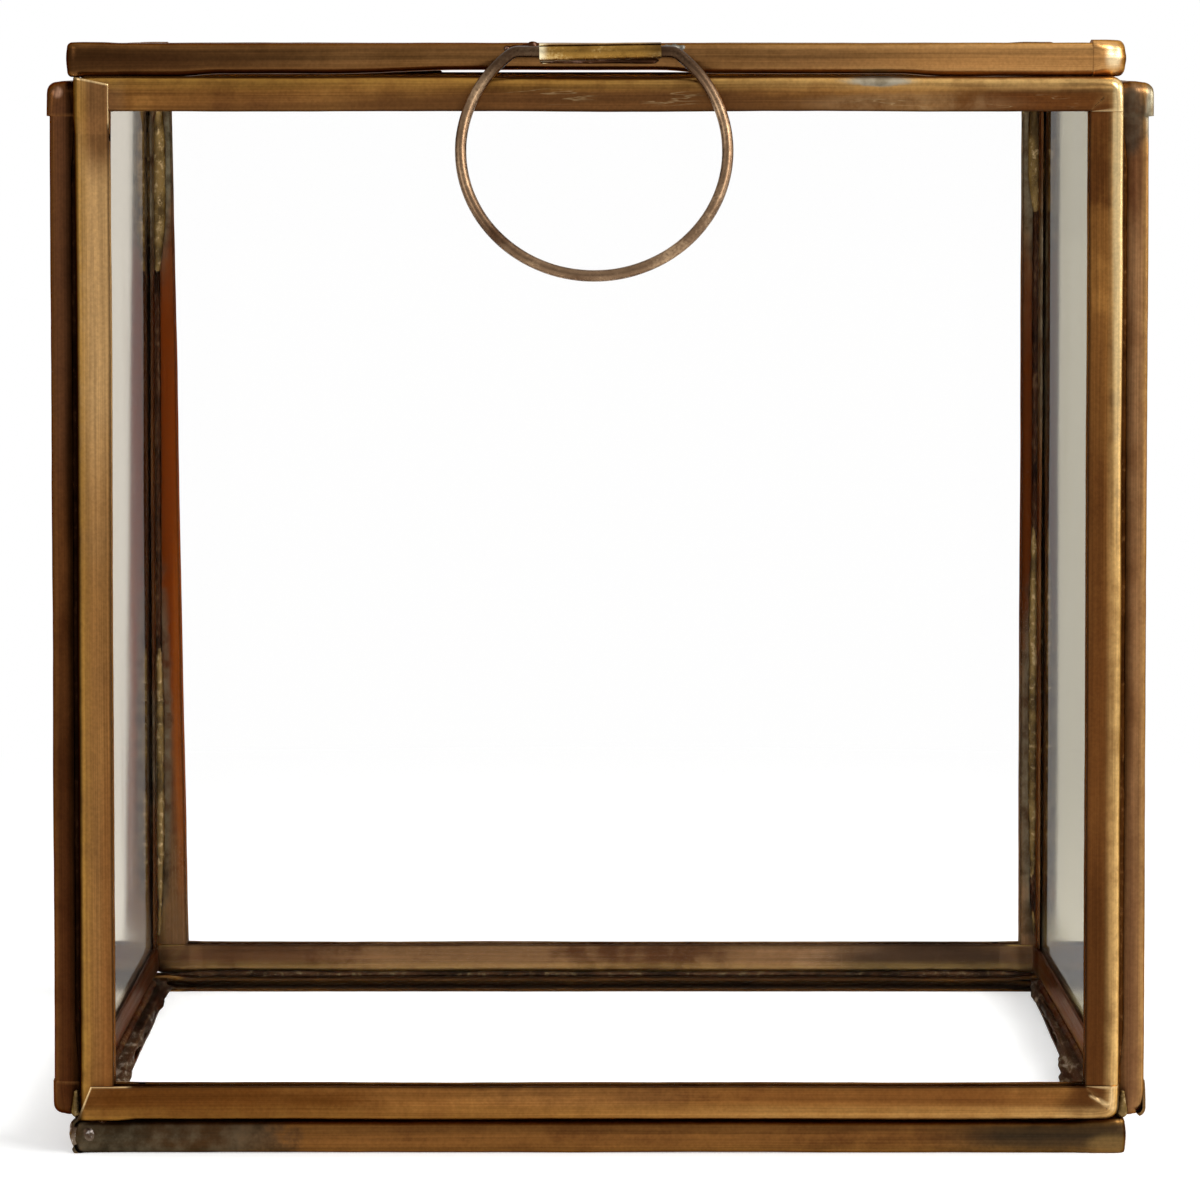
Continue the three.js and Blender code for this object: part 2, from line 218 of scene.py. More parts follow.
def on_mesh(tree, kind):
    """A value that the mesh keeps at each point, such as how worn it is."""
    return put(tree, "ShaderNodeAttribute", attribute_name=kind).outputs["Fac"]


# %% The brass material
UV_UNIT = 100 * MM
LINE_LENGTH, LINE_WIDTH = 45 * MM, 0.14 * MM
BRUSH_LENGTH, BRUSH_WIDTH = 22 * MM, 0.55 * MM
CLOUD, MOTTLE, SPECK = 16 * MM, 2.2 * MM, 0.34 * MM
BRUSH_SWING, MOTTLE_SWING = 0.26, 0.38
DRIED_LENGTH, DRIED_HEIGHT = 13 * MM, 1.3 * MM
LIP_DARK, DRY_FLUX, LOW_SHEEN = "20150c", "c8ab7c", "a89480"


def brass(name, seed, tones, web_tones, edges, patches=(), films=(), dried=(), touches=()):
    """Rubbed dark brass. Edges are the tones of the worn folds at the left and at the right and of
    the cut ends; a lighter right tone is wear and also a painted highlight where the light falls.
    Patches change the tone, touches change it on the worn folds too, and some of both are painted
    shade and painted highlights. Films are solder on top of it, and dried places hold fine outlines
    of dry flux."""
    material, tree, shader = new_material(name)
    dark, body, gold = tones
    left_edge, right_fold_wear_and_sheen, cut_edge = edges
    place, axes = object_place(tree)
    strip = put(tree, "ShaderNodeUVMap", uv_map="strip").outputs["UV"]
    moved = stretched(tree, place, (1, 1, 1), (seed, seed / 2, -seed))
    lines = grain(tree, stretched(tree, strip, (UV_UNIT / LINE_LENGTH, UV_UNIT / LINE_WIDTH, 1), (seed, 0, 0)), 1)
    brush = grain(tree, stretched(tree, strip, (UV_UNIT / BRUSH_LENGTH, UV_UNIT / BRUSH_WIDTH, 1), (0, seed, 0)), 1)
    clouds = grain(tree, moved, 1 / CLOUD, 5, 0.6)
    mottle = grain(tree, moved, 1 / MOTTLE, 4, 0.6)
    specks = grain(tree, moved, 1 / SPECK, 2)

    # Dark, middle and golden layers, shared out by clouds that the rubbing breaks up
    layer = plus(tree, clouds, swing(tree, brush, BRUSH_SWING))
    layer = plus(tree, layer, swing(tree, mottle, MOTTLE_SWING))
    tone = blend(tree, soft_step(tree, layer, 0.28, 0.5), dark, body)
    tone = blend(tree, soft_step(tree, layer, 0.5, 0.76), tone, gold)
    web_tone = blend(tree, soft_step(tree, layer, 0.32, 0.66), *web_tones)
    tone = blend(tree, on_mesh(tree, "web"), tone, web_tone)
    tone = dabbed(tree, place, tone, patches, clouds, 0.5)

    # Bright metal on the folds and cut ends, broken by the mottling. Across the box the folds' tone
    # goes from the left one to the right one: wear, and a painted highlight on the right.
    broken = soft_step(tree, plus(tree, mottle, times(tree, brush, 0.4)), 0.48, 0.84, 0.5, 1.0)
    above_foot = soft_step(tree, axes["Z"], 4.5 * MM, 7 * MM, 0.65, 1.0)
    shine = times(tree, times(tree, on_mesh(tree, "worn"), broken), above_foot)
    edge = blend(tree, soft_step(tree, axes["X"], -12 * MM, 54 * MM), left_edge, right_fold_wear_and_sheen)
    tone = blend(tree, shine, tone, edge)
    # The cut ends are bright metal; along the front's creases the same tone is a painted highlight
    tone = blend(tree, times(tree, on_mesh(tree, "cut"), 0.8), tone, cut_edge)
    tone = dabbed(tree, place, tone, touches, mottle, 0.2)

    # The finest grain only makes the tone a little lighter and darker
    fine = times(tree, soft_step(tree, lines, 0.3, 0.7, 0.86, 1.14), soft_step(tree, specks, 0.25, 0.75, 0.9, 1.1))
    fine = times(tree, fine, soft_step(tree, brush, 0.3, 0.7, 0.9, 1.11))
    grey = put(tree, "ShaderNodeCombineColor", {0: fine, 1: fine, 2: fine}).outputs[0]
    tone = blend(tree, 1.0, tone, grey, "MULTIPLY")

    film = 0.0
    for centre, reach, amount, film_tones in films:
        cover = patch(tree, place, centre, reach, mottle, 0.9, 0.45)
        cover = times(tree, cover, soft_step(tree, layer, 0.25, 0.6, 0.6 * amount, amount))
        tone = blend(tree, cover, tone, blend(tree, soft_step(tree, mottle, 0.3, 0.7), *film_tones))
        film = calculate(tree, "MAXIMUM", film, cover)
    for centre, reach in dried:
        long_waves = stretched(tree, place, (1 / DRIED_LENGTH, 1, 1 / DRIED_HEIGHT), (seed, 0, 0))
        contour = calculate(tree, "ABSOLUTE", calculate(tree, "SUBTRACT", grain(tree, long_waves, 1, 4), 0.5))
        line = times(tree, soft_step(tree, contour, 0.002, 0.016, 0.3, 0.0),
                     patch(tree, place, centre, reach, clouds, 0.6))
        tone = blend(tree, line, tone, DRY_FLUX)

    # The inner lip, beside the glass, is darkened
    tone = blend(tree, times(tree, on_mesh(tree, "lip"), 0.8), tone, LIP_DARK)

    rough = plus(tree, soft_step(tree, brush, 0.3, 0.7, 0.33, 0.44), times(tree, shine, -0.06))
    if films:
        rough = plus(tree, rough, times(tree, film, 0.1))
    finish_metal(tree, shader, tone, rough, plus(tree, lines, times(tree, mottle, 1.5)), 0.3, 0.025 * MM)
    shader.inputs["Specular Tint"].default_value = colour(LOW_SHEEN)
    return material

# %% [markdown]
# ## A finish for each panel
# Six panels went through the bath and the rubbing in their own ways. The front's left stile came up
# gold, its right one stayed brown, and the base has a grey film of solder at its left end. Some tones
# are painted light from the right: the lid runs from dark at the left to gold at the right, and the
# left panel's darker brass is partly painted shade. Each panel gets its own tones and its own
# patches, and some of the patches are painted shadows and painted highlights.

# %% Brass for the six panels
OLIVE_FILM = ("3a3526", "8a846d")
PALE_FILM = ("6f6a5a", "a7a292")

strip_metal = {
    "front": brass(
        "brass_front", 1.3, ("5c3618", "805428", "9c6c36"), ("6c4220", "865a2c"), ("a17636", "dbb06e", "e2c08a"),
        patches=[((-50.3, -48.5, 92), (4, 20, 40), "c89e68", 0.85), ((-50.3, -48.5, 40), (4, 20, 40), "946a3c", 0.6),
                 ((-49.6, -48.5, 104.0), (3.6, 20, 8), "6a4222", 0.85),
                 ((-49.0, -48.5, 18), (1.2, 20, 40), "7c4c24", 0.5),
                 ((49.4, -48.5, 30), (3.2, 20, 66), "5e3618", 0.85), ((49.4, -48.5, 14), (3.2, 20, 24), "4a2a12", 0.6),
                 ((0, -48.5, 105.0), (56, 20, 2.4), "664224", 0.85), ((44, -48.5, 105.2), (12, 20, 3.2), "62381a", 0.8),
                 ((-38, -48.5, 5.5), (24, 20, 2.8), "56300f", 0.85), ((30, -48.5, 5.8), (22, 20, 1.8), "724620", 0.65),
                 ((20, -48.5, 4.4), (40, 20, 1.2), "8c6230", 0.4), ((-2, -48.5, 6.0), (15, 20, 1.7), "966a3a", 0.3),
                 ((48.2, -48.5, 4.9), (3, 20, 2), "4e2e14", 0.7)],
        films=[((27.9, -48.5, 107.6), (4.5, 20, 0.7), 0.85, PALE_FILM), ((52.4, -48, 5), (1, 3, 2.5), 0.7, OLIVE_FILM),
               ((31, -50, 105.4), (14, 4, 1.5), 0.4, ("6e4828", "b08c62"))],
        dried=[((-5, -50, 106.1), (5.5, 4, 0.9)), ((7, -50, 105.9), (4, 4, 1)), ((29, -50, 105.2), (6, 4, 1.2)),
               ((43, -50, 105.4), (5, 4, 1.0))],
        # Near black on the left edge is painted shade; the pale band on the right fold is a painted highlight
        touches=[((-52.25, -49.5, 45), (0.8, 20, 110), "1a0f06", 0.95),
                 ((51.6, -49.6, 110), (0.8, 3, 54), "f4dca6", 0.5), ((32, -49.5, 4.2), (20, 3, 0.9), "8a5e2c", 0.5),
                 ((-32, -49.5, 4.2), (28, 3, 0.9), "663c18", 0.5), ((0, -49.5, 4.2), (28, 3, 0.9), "84562a", 0.4)]),
    "back": brass(
        "brass_back", 4.1, ("583822", "825f3e", "9a7654"), ("5a3c20", "7a5630"), ("a98a4c", "a98a4c", "a98a4c"),
        patches=[((-50, 55, 60), (5, 20, 42), "78340a", 1.0), ((-48.3, 55, 40), (1.3, 20, 36), "944c1a", 0.8),
                 # Darker along the outer edges of the back stiles, in the inner corners
                 ((-52.6, 55, 55), (1.1, 20, 90), "241509", 0.85), ((52.4, 55, 55), (1.6, 20, 90), "241509", 0.85),
                 ((50, 55, 62), (5, 20, 34), "5a2808", 1.0), ((-40, 55, 5), (14, 20, 4), "4a2c1a", 0.7),
                 ((38, 55, 5), (18, 20, 4), "32241c", 0.85)],
        films=[((-50.4, 55, 99), (1.6, 8, 16), 0.9, OLIVE_FILM), ((-50.6, 55, 30), (1.4, 8, 24), 0.85, OLIVE_FILM),
               ((50.2, 55, 98), (2.4, 8, 14), 0.75, OLIVE_FILM), ((50.2, 55, 28), (2.0, 8, 26), 0.75, OLIVE_FILM)]),
    # Darker brass here is partly painted shade; near black beside the front panel is a painted shadow, and the pale
    # spot at the top corner a painted highlight
    "left": brass(
        "brass_left", 7.7, ("3e2210", "573218", "6c4422"), ("4a2812", "5c361a"), ("5e3a1c", "5e3a1c", "6a4424"),
        patches=[((-54.1, -46.9, 90), (2.6, 6, 30), "64402a", 0.6), ((-54.2, -46.9, 0), (4, 6, 70), "3a1c0c", 0.75),
                 ((-52.0, -46.9, 60), (1.9, 6, 100), "0c0401", 1.0),
                 ((-54.1, -46.9, 106.5), (0.75, 2, 0.75), "c89c80", 0.7)],
        films=[((-51.3, 50, 96), (2, 8, 14), 0.6, OLIVE_FILM), ((-51.3, 50, 30), (2, 8, 9), 0.6, OLIVE_FILM)]),
    # The dark band beside the front panel is a painted shadow, and the dark line beside the top flap painted shade
    "right": brass(
        "brass_right", 2.9, ("4e2a10", "6e4422", "8a5c32"), ("7c5434", "926a46"), ("a67c4a", "a67c4a", "6e5432"),
        patches=[((51.9, -46.9, 50), (2.0, 6, 104), "3a1e0a", 0.95), ((53.6, -46.9, 98), (1.6, 4, 7), "4a1e0a", 0.6),
                 ((54.2, -46.9, 12), (2.2, 6, 32), "6a462c", 0.8),
                 ((54.3, -46.9, 104.0), (0.35, 4, 3.4), "2a2018", 0.8)],
        films=[((52.9, -47, 104), (1.8, 3, 5), 0.9, ("2c231a", "5e5242")),
               ((55.2, -47, 104.5), (0.9, 3, 4.5), 0.9, ("5c5644", "a8a48e")),
               ((50.6, 50, 80), (2, 8, 20), 0.6, OLIVE_FILM)]),
    "base": brass(
        "brass_base", 5.3, ("3c2410", "5a3818", "7c5222"), ("5f3b1c", "784f26"), ("7a5226", "8a6230", "8a6230"),
        patches=[((48, -48.8, 1.8), (17, 4, 5), "30271c", 0.95), ((51.4, -49, 0.9), (3, 3, 1.4), "86683c", 0.5)],
        films=[((-45, -49, 1.9), (17, 5, 6), 1.0, ("2c2519", "5a4e3c"))]),
    # Dark at the left end and gold at the right is painted light from the right; the cream patch at the right corner is
    # a painted highlight and the dark one beyond it painted shade
    "lid": brass(
        "brass_lid", 9.2, ("5c3a1c", "76502a", "946a38"), ("684624", "7e5832"), ("6c4826", "c4945a", "7e5830"),
        patches=[((-58, -48.8, 110), (40, 8, 9), "3a2210", 0.95), ((56, -48.8, 110), (38, 8, 9), "b07e48", 0.9),
                 ((51.35, -49.2, 110), (1.25, 2, 3.4), "fbe3b4", 0.95),
                 ((52.9, -47.6, 110), (0.95, 4, 4), "3e2612", 0.9)]),
}
print("brass finishes:", ", ".join(sorted(strip_metal)))

# %% [markdown]
# ## Solder, wire and glass
# Solder is a soft grey metal. In the colouring bath it went olive and brown, and only its high
# spots stay light. Wire was drawn through a plate, so it is smoother than the strip. Window glass seen
# head on is all but invisible, and seen edge on it is a mirror, so a pane mixes a clear shader with
# a mirror by how far it is turned away. The base pane is dusty and mirrors much less.

# %% Solder and wire
def solder(name, seed, dark, middle, light, bump_depth=0.05, along=1.0):
    material, tree, shader = new_material(name)
    place, _ = object_place(tree)
    moved = stretched(tree, place, (1, along, 1), (seed, -seed, seed))
    clouds = grain(tree, moved, 1 / (5 * MM), 5, 0.65)
    pits = grain(tree, moved, 1 / (0.7 * MM), 4, 0.6)
    tone = blend(tree, soft_step(tree, clouds, 0.38, 0.56), dark, middle)
    tone = blend(tree, soft_step(tree, plus(tree, pits, times(tree, clouds, 0.4)), 0.72, 0.92), tone, light)
    finish_metal(tree, shader, tone, soft_step(tree, clouds, 0.3, 0.7, 0.32, 0.55), pits, 0.5, bump_depth * MM)
    shader.inputs["Specular Tint"].default_value = colour(LOW_SHEEN)
    return material


def drawn_wire(name, seed, dark, body, gold, dirt_from=None, ends=None):
    """Smooth brass. Dirt gathers above the height dirt_from. Where the places of a tube's ends are
    given, it gets a painted highlight at its left end and painted shade at its right one."""
    material, tree, shader = new_material(name)
    place, axes = object_place(tree)
    moved = stretched(tree, place, (1, 1, 1), (seed, seed, -seed))
    clouds = grain(tree, moved, 1 / (6 * MM), 5, 0.6)
    specks = grain(tree, moved, 1 / (0.3 * MM), 3)
    tone = blend(tree, soft_step(tree, clouds, 0.34, 0.52), dark, body)
    tone = blend(tree, soft_step(tree, plus(tree, clouds, times(tree, specks, 0.3)), 0.66, 0.86), tone, gold)
    if dirt_from is not None:
        height = plus(tree, axes["Z"], swing(tree, clouds, 4 * MM))
        dirty = soft_step(tree, height, dirt_from * MM, (dirt_from + 3.5) * MM, 0.0, 0.8)
        tone = blend(tree, dirty, tone, "2c1a0e")
    if ends is not None:
        left, right = ends
        # A painted highlight at the left end and painted shade at the right end
        tone = blend(tree, soft_step(tree, axes["X"], left * MM, (left + 0.9) * MM, 0.9, 0.0), tone, "fff0c8")
        tone = blend(tree, soft_step(tree, axes["X"], (right - 2.5) * MM, right * MM, 0.0, 0.7), tone, "4a3216")
    finish_metal(tree, shader, tone, soft_step(tree, specks, 0.3, 0.7, 0.26, 0.42), specks, 0.25, 0.02 * MM)
    return material


# %% Window glass
HEAD_ON, MIRROR_POWER, MIRROR_LIMIT = 0.003, 5.0, 0.94
DUSTY_FOOT = (8, 16)
WHITE = (1, 1, 1, 1)
GLASS_IOR = 1.5


def window_glass(name, share, tone, low_tone="ffffff", turn=0.0, bends=False, haze=0.0):
    """Clear glass that mirrors more as it is seen edge on. Share scales the mirror, tone dims it,
    low_tone dims it further at a low angle, and turn makes the mirror face a little more to the
    front. Bends is for glass seen at a low angle, and haze blurs the mirror, most of all at its
    dusty foot."""
    material, tree, shader = new_material(name)
    place, axes = object_place(tree)
    smears = grain(tree, stretched(tree, place, (1, 1, 0.3)), 1 / (9 * MM), 4, 0.6)
    dust = grain(tree, place, 1 / (0.35 * MM), 2)
    mirror_tone = blend(tree, soft_step(tree, smears, 0.35, 0.7, 0.0, 0.2), tone, "e6e2d8")
    mirror_tone = blend(tree, soft_step(tree, dust, 0.68, 0.8, 0.0, 0.35), mirror_tone, "f2f0ea")
    rough = soft_step(tree, smears, 0.4, 0.75, 0.015 + haze, 0.06 + haze)
    dusty = soft_step(tree, axes["Z"], DUSTY_FOOT[0] * MM, DUSTY_FOOT[1] * MM, 3 * haze, 0.0)
    turned = put(tree, "ShaderNodeBump", {"Height": times(tree, axes["Y"], turn), "Distance": 1.0})
    finish_metal(tree, shader, mirror_tone, plus(tree, rough, dusty), smears, 0.25, 0.02 * MM, turned.outputs["Normal"])
    shader.inputs["Specular Tint"].default_value = colour(low_tone)
    facing = put(tree, "ShaderNodeLayerWeight", {"Blend": 0.5}).outputs["Facing"]
    edge_on = times(tree, calculate(tree, "POWER", facing, MIRROR_POWER), share)
    mirror = calculate(tree, "MINIMUM", plus(tree, edge_on, HEAD_ON), MIRROR_LIMIT)
    clear = put(tree, "ShaderNodeBsdfTransparent", {"Color": WHITE}).outputs["BSDF"]
    if bends:
        bent = put(tree, "ShaderNodeBsdfRefraction", {"Color": WHITE, "Roughness": 0.0, "IOR": GLASS_IOR})
        shadow = put(tree, "ShaderNodeLightPath").outputs["Is Shadow Ray"]
        clear = put(tree, "ShaderNodeMixShader", {0: shadow, 1: bent.outputs["BSDF"], 2: clear}).outputs["Shader"]
    mix = put(tree, "ShaderNodeMixShader", {0: mirror, 1: clear, 2: shader.outputs["BSDF"]})
    tree.links.new(mix.outputs["Shader"], tree.nodes["Material Output"].inputs["Surface"])
    return material


# %% The solders, the wires and the panes of this box
grey_solder = solder("grey_solder", 3.1, "46361f", "7a623a", "b89e74", 0.04)
seam_solder = solder("seam_solder", 3.7, "180c06", "321b0e", "5c4430", 0.04)
dark_solder = solder("dark_solder", 6.4, "281a10", "4a3220", "7d6c50")
flow_solder = solder("flow_solder", 7.2, "20180f", "463a2c", "a09488", 0.1, 0.2)
# Notch solder is coloured dark, near black at the left: painted shade in the notch beside the front and back panels
shaded_notch_solder = {"left": solder("shaded_notch_solder_left", 1.4, "0c0502", "180b04", "2a180c"),
                "right": solder("shaded_notch_solder_right", 2.8, "321a09", "47280f", "6a4626")}
sleeve_dirt = solder("sleeve_solder", 4.2, "2c1a10", "4a2e1c", "8c6c5c")
tip_solder = solder("tip_solder", 5.2, "4e4a42", "7c776c", "b0aca2", 0.08)
end_solder = solder("end_solder", 8.8, "4a3a2e", "80705f", "ece0d8")
tail_metal = drawn_wire("tail_brass", 3.4, "2a190b", "3e2812", "5a3d1e")
# The sleeve has a painted highlight at its left end and painted shade at its right end
sleeve_metal = drawn_wire("sleeve_brass", 2.2, "6a4a1e", "967034", "dcbc7c", None, (-5.9, 6.1))
wire_metal = drawn_wire("ring_wire", 5.8, "543c2a", "7e644c", "ae9070", 106.5)
barrel_metal = drawn_wire("barrel_brass", 8.4, "3e2812", "62431f", "8c6a34")
glass = {name: window_glass(f"glass_{name}", *rest) for name, *rest in (
    ("front", 1.35, "b4ada0"), ("back", 1.35, "b4ada0"),
    ("left", 1.35, "bcb3a1", "d6ccb8", 0.007, True, 0.05), ("right", 1.35, "a09a8a", "a4986c", 0.0053, True, 0.05),
    ("base", 0.12, "b4ada0", "ffffff", 0.0, True), ("lid", 1.35, "b4ada0"))}
print("materials:", len(bpy.data.materials))

# %% [markdown]
# ## A panel's own axes
# All six panels are made the same way and then stood up in place. Each one has its own axes: across
# and up in the plane of the pane, and out through its outer face. Its middle and its size come from
# the frame. The strip's laps stand proud of the panel on both faces, so the panel itself is thinner
# than its node.

# %% Panel axes
LAP = 0.3
LEG = 3.4
X, Y, Z = Vector((1, 0, 0)), Vector((0, 1, 0)), Vector((0, 0, 1))
AXES = {"front": (X, Z, -Y), "back": (-X, Z, Y), "left": (-Y, Z, -X),
        "right": (Y, Z, X), "base": (X, -Y, -Z), "lid": (X, Y, Z)}


class Panel:
    """A panel's middle, its size, and the strip's start on each side, all in millimetres."""
    def __init__(self, name):
        low, high = (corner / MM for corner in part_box(f"{name}_channel"))
        self.name = name
        self.across, self.up, self.out = AXES[name]
        self.middle = (low + high) / 2
        size = high - low
        self.width = abs(size.dot(self.across))
        self.height = abs(size.dot(self.up))
        self.half_depth = abs(size.dot(self.out)) / 2 - LAP

    def place(self, a, b, n):
        return self.middle + self.across * a + self.up * b + self.out * n

    def side(self, number):
        """Half the panel's size square to a side, and half its size along it."""
        halves = (self.width / 2, self.height / 2)
        return halves if number % 2 == 0 else halves[::-1]

    def side_start(self, number):
        """Length of strip before the straight part of a side."""
        return sum(2 * self.side(before)[1] - LEG for before in range(number))


panels = {name: Panel(name) for name in AXES}
for panel in panels.values():
    print(panel.name, round(panel.width, 2), "x", round(panel.height, 2), "x", round(2 * panel.half_depth, 2))

# %% [markdown]
# ## The folded strip, seen in section
# Cut across, the strip is a U that holds the edge of the glass: a flat leg on each face of the pane
# and a web over its edge, with soft folds between them. Folding by hand leaves the web a little
# full and the legs a little crowned. Each point of the section keeps its depth in from the edge of
# the panel, its height from the middle of the panel, how far it is on the web, how much the
# rubbing wore it, and how much its inner lip beside the glass is darkened.

# %% Section of the strip
SHEET = 0.3
FOLD = 0.75
SOFT_FOLD = 1.05
WEB_SWELL = 0.1
LEG_CROWN = 0.04
EDGE_ROUND = 0.06
LIP_WIDTH = 0.22
LEG_SHARES = (0, 0.035, 0.08, 0.18, 0.28, 0.38, 0.48, 0.58, 0.68, 0.78, 0.89, 1)
FOLD_STEPS, WEB_STEPS = 6, 4


def smooth(share):
    share = min(max(share, 0.0), 1.0)
    return share * share * (3 - 2 * share)


def half_section(half_depth, fold):
    """From the leg's inner edge to the middle of the web: (inset, height, worn, web, lip)."""
    points = [(LEG, half_depth - EDGE_ROUND, 0.0, 0.0, 0.6)]
    flat = LEG - EDGE_ROUND - fold
    for share in LEG_SHARES:
        inset = LEG - EDGE_ROUND - flat * share
        crown = LEG_CROWN * math.sin(math.pi * share)
        worn = 0.6 * smooth((1.7 - inset) / 1.1)
        points.append((inset, half_depth + crown, worn, 0.0, max(0.0, 1 - flat * share / LIP_WIDTH)))
    for step in range(1, FOLD_STEPS + 1):
        turn = math.pi / 2 * step / FOLD_STEPS
        least, most = (0.55, 0.45) if turn < math.pi / 4 else (0.2, 0.8)
        worn = least + most * math.sin(2 * turn)
        inset, height = fold - fold * math.sin(turn), half_depth - fold + fold * math.cos(turn)
        points.append((inset, height, worn, step / FOLD_STEPS, 0.0))
    rest = half_depth - fold
    for step in range(1, WEB_STEPS + 1):
        share = step / WEB_STEPS
        points.append((-WEB_SWELL * math.sin(math.pi / 2 * share), rest * (1 - share), 0.2 * (1 - share), 1.0, 0.0))
    return points


def mirrored(points):
    return [(inset, -height, *rest) for inset, height, *rest in reversed(points[:-1])]


def strip_section(half_depth, fold):
    """The whole section, outside first and then back along the inside of the sheet."""
    half = half_section(half_depth, fold)
    inner = [(max(inset, 0) + SHEET if web else inset, height, 0.0, 0.0, 0.0)
             for inset, height, _, web, _ in half_section(half_depth - SHEET, fold - SHEET)[1:]]
    inner = [(LEG, half_depth - SHEET + EDGE_ROUND, 0.0, 0.0, 0.6)] + inner
    return half + mirrored(half), (inner + mirrored(inner))[::-1]


print("points in the section:", sum(len(part) for part in strip_section(1.5, FOLD)))

# %% [markdown]
# ## Round the pane
# The section is carried round the pane. A path made by a curve would cross itself at the inner
# corners, because the legs reach further in than the corner's radius. So each point of the section
# follows its own outline: the panel's outline set in by the point's depth, whose corner is round
# while the depth is less than the radius and square after that. At each corner the strip laps over
# itself: one leg goes over the other. Where it is folded round the corner, the whole corner stands
# proud and ends in a step. Where the strip begins and ends, it is cut at a slant, and that piece is
# made later.

# %% Outline of one point of the section
CORNER = 1.2
RAMP = 2.6
CORNER_STEPS = 18
SIDE_STEPS = 84
STEP_WIDTH = 0.05
TURNS = (lambda e, g: (e, g), lambda e, g: (-g, e), lambda e, g: (-e, -g), lambda e, g: (g, -e))
TURNS_BACK = (lambda a, b: (a, b), lambda a, b: (b, -a), lambda a, b: (-a, -b), lambda a, b: (-b, a))


def corner_place(half_e, half_g, inset, share, corner=CORNER):
    """A point on the outline set in by inset, going round a corner as share runs from 0 to 1."""
    radius = max(corner - inset, 0.0)
    straight = LEG - max(corner, inset)
    if share < 1 / 3:
        return half_e - inset, half_g - LEG + straight * share * 3
    if share > 2 / 3:
        return half_e - LEG + straight * (1 - share) * 3, half_g - inset
    turn = math.pi / 2 * (share * 3 - 1)
    return (half_e - inset - radius + radius * math.cos(turn), half_g - inset - radius + radius * math.sin(turn))


def side_stations(length):
    """Places along one straight side, closer together near its ends."""
    even = [length * (step / SIDE_STEPS) for step in range(SIDE_STEPS + 1)]
    near = [STEP_WIDTH, *[RAMP * step / 6 for step in range(1, 7)]]
    both = near + [length - place for place in near]
    return sorted(set(round(place, 4) for place in even + both))


# %% Rings round the panel
# For each corner, counted from the top right: "next" laps the following side over this one,
# "this" laps this side over the following one, and "cut" is the slanted end made later
FOLDED = ("next", "cut", "cut", "this")
corner_laps = {name: FOLDED for name in panels}
corner_laps["right"] = ("next", "this", "cut", "this")
corner_laps["lid"] = ("cut", "next", "next", "next")
lap_heights = {name: (1.0, 1.0, 1.0, 1.0) for name in panels}
lap_heights["lid"] = (0.35, 0.35, 0.3, 1.0)
lap_heights["right"] = (1.0, 1.7, 0.5, 1.0)
lap_heights["left"] = (1.0, 1.0, 0.4, 0.4)
corner_radius = {("lid", 3): 2.6}
SHARPER = {("lid", 2): -1.1, ("base", 0): -0.6, ("base", 2): -0.6}
SOFT_CORNER = {("lid", 2): 0.0, **{("base", corner): 0.0 for corner in range(4)}}


def strip_rings(panel, laps, heights):
    """(place of an inset, length along the strip, lift, softness of the fold, cut edge, over side)

    The over side is the one whose lines run across the corner that follows the ring."""
    rings = []
    for side in range(4):
        half_e, half_g = panel.side(side)
        length = 2 * (half_g - LEG)
        start = panel.side_start(side)
        turn = TURNS[side]
        after, before = laps[side], laps[side - 1]
        over = (side + 1) % 4 if after == "next" else side
        fold_here, fold_next = (SHARPER.get((panel.name, s), 0.0) for s in (side, (side + 1) % 4))
        stations = side_stations(length)
        for place in stations:
            left = length - place
            lifts = [0.0]
            if after == "this":
                lifts.append(heights[side] * smooth(1 - left / RAMP))
            if before == "next":
                lifts.append(heights[side - 1] * smooth(1 - place / RAMP))
            cut_here = after == "next" and left < STEP_WIDTH / 2
            cut_before = before == "this" and place < STEP_WIDTH / 2
            if cut_here:
                lifts.append(heights[side])
            if cut_before:
                lifts.append(heights[side - 1])
            def locate(inset, turn=turn, half_e=half_e, along=place - length / 2):
                return turn(half_e - inset, along)
            cut_edge = float(cut_here or cut_before)
            last_over = over if place == stations[-1] else None
            rings.append((locate, start + place, max(lifts), fold_here, cut_edge, last_over))
        for step in range(1, CORNER_STEPS):
            share = step / CORNER_STEPS
            radius = corner_radius.get((panel.name, side), CORNER)
            def locate(inset, turn=turn, half_e=half_e, half_g=half_g, share=share, radius=radius):
                return turn(*corner_place(half_e, half_g, inset, share, radius))
            lift = 0.0 if after == "cut" else heights[side]
            softness = smooth(1 - abs(share * 2 - 1) * 1.2) * SOFT_CORNER.get((panel.name, side), 1.0)
            softness += fold_here * (1 - smooth(share)) + fold_next * smooth(share)
            rings.append((locate, start + length + share * LEG, lift, softness, 0.0, over))
    return rings


print("rings round the front panel:", len(strip_rings(panels["front"], FOLDED, lap_heights["front"])))

# %% [markdown]
# ## What hands did to the shape
# Nothing made by hand is straight. Smooth noise gives every strip long waves and small dents. Some
# strips are out of true in a way that shows. The lid's front edge bows up in the middle, so light
# comes through under it, and the base's strip is a little narrow at its two sides. The back panel's
# left stile was folded narrow at its top and wide at its foot. The side panels stand a little closer
# together at the back than at the front.

# %% Out of true
WAVE, WAVE_HEIGHT = 18.0, 0.07
DENT, DENT_HEIGHT = 3.2, 0.022
BOW, SAG, SHORT = 0.36, 0.27, 0.3
STILE_NARROW, STILE_WIDE = -0.7, 0.95
LEAN = {"left": 0.7, "right": 1.4}
FULLER, NARROW_BASE = 0.29, 0.4
CREASES = (((49.2, 6.1), (51.6, 4.8)), ((51.2, 7.3), (51.4, 5.6)))
CREASE_WIDTH, CREASE_HEIGHT = 0.5, 0.16
# The vector noise starts anywhere unless its seed is set
noise.seed_set(7)


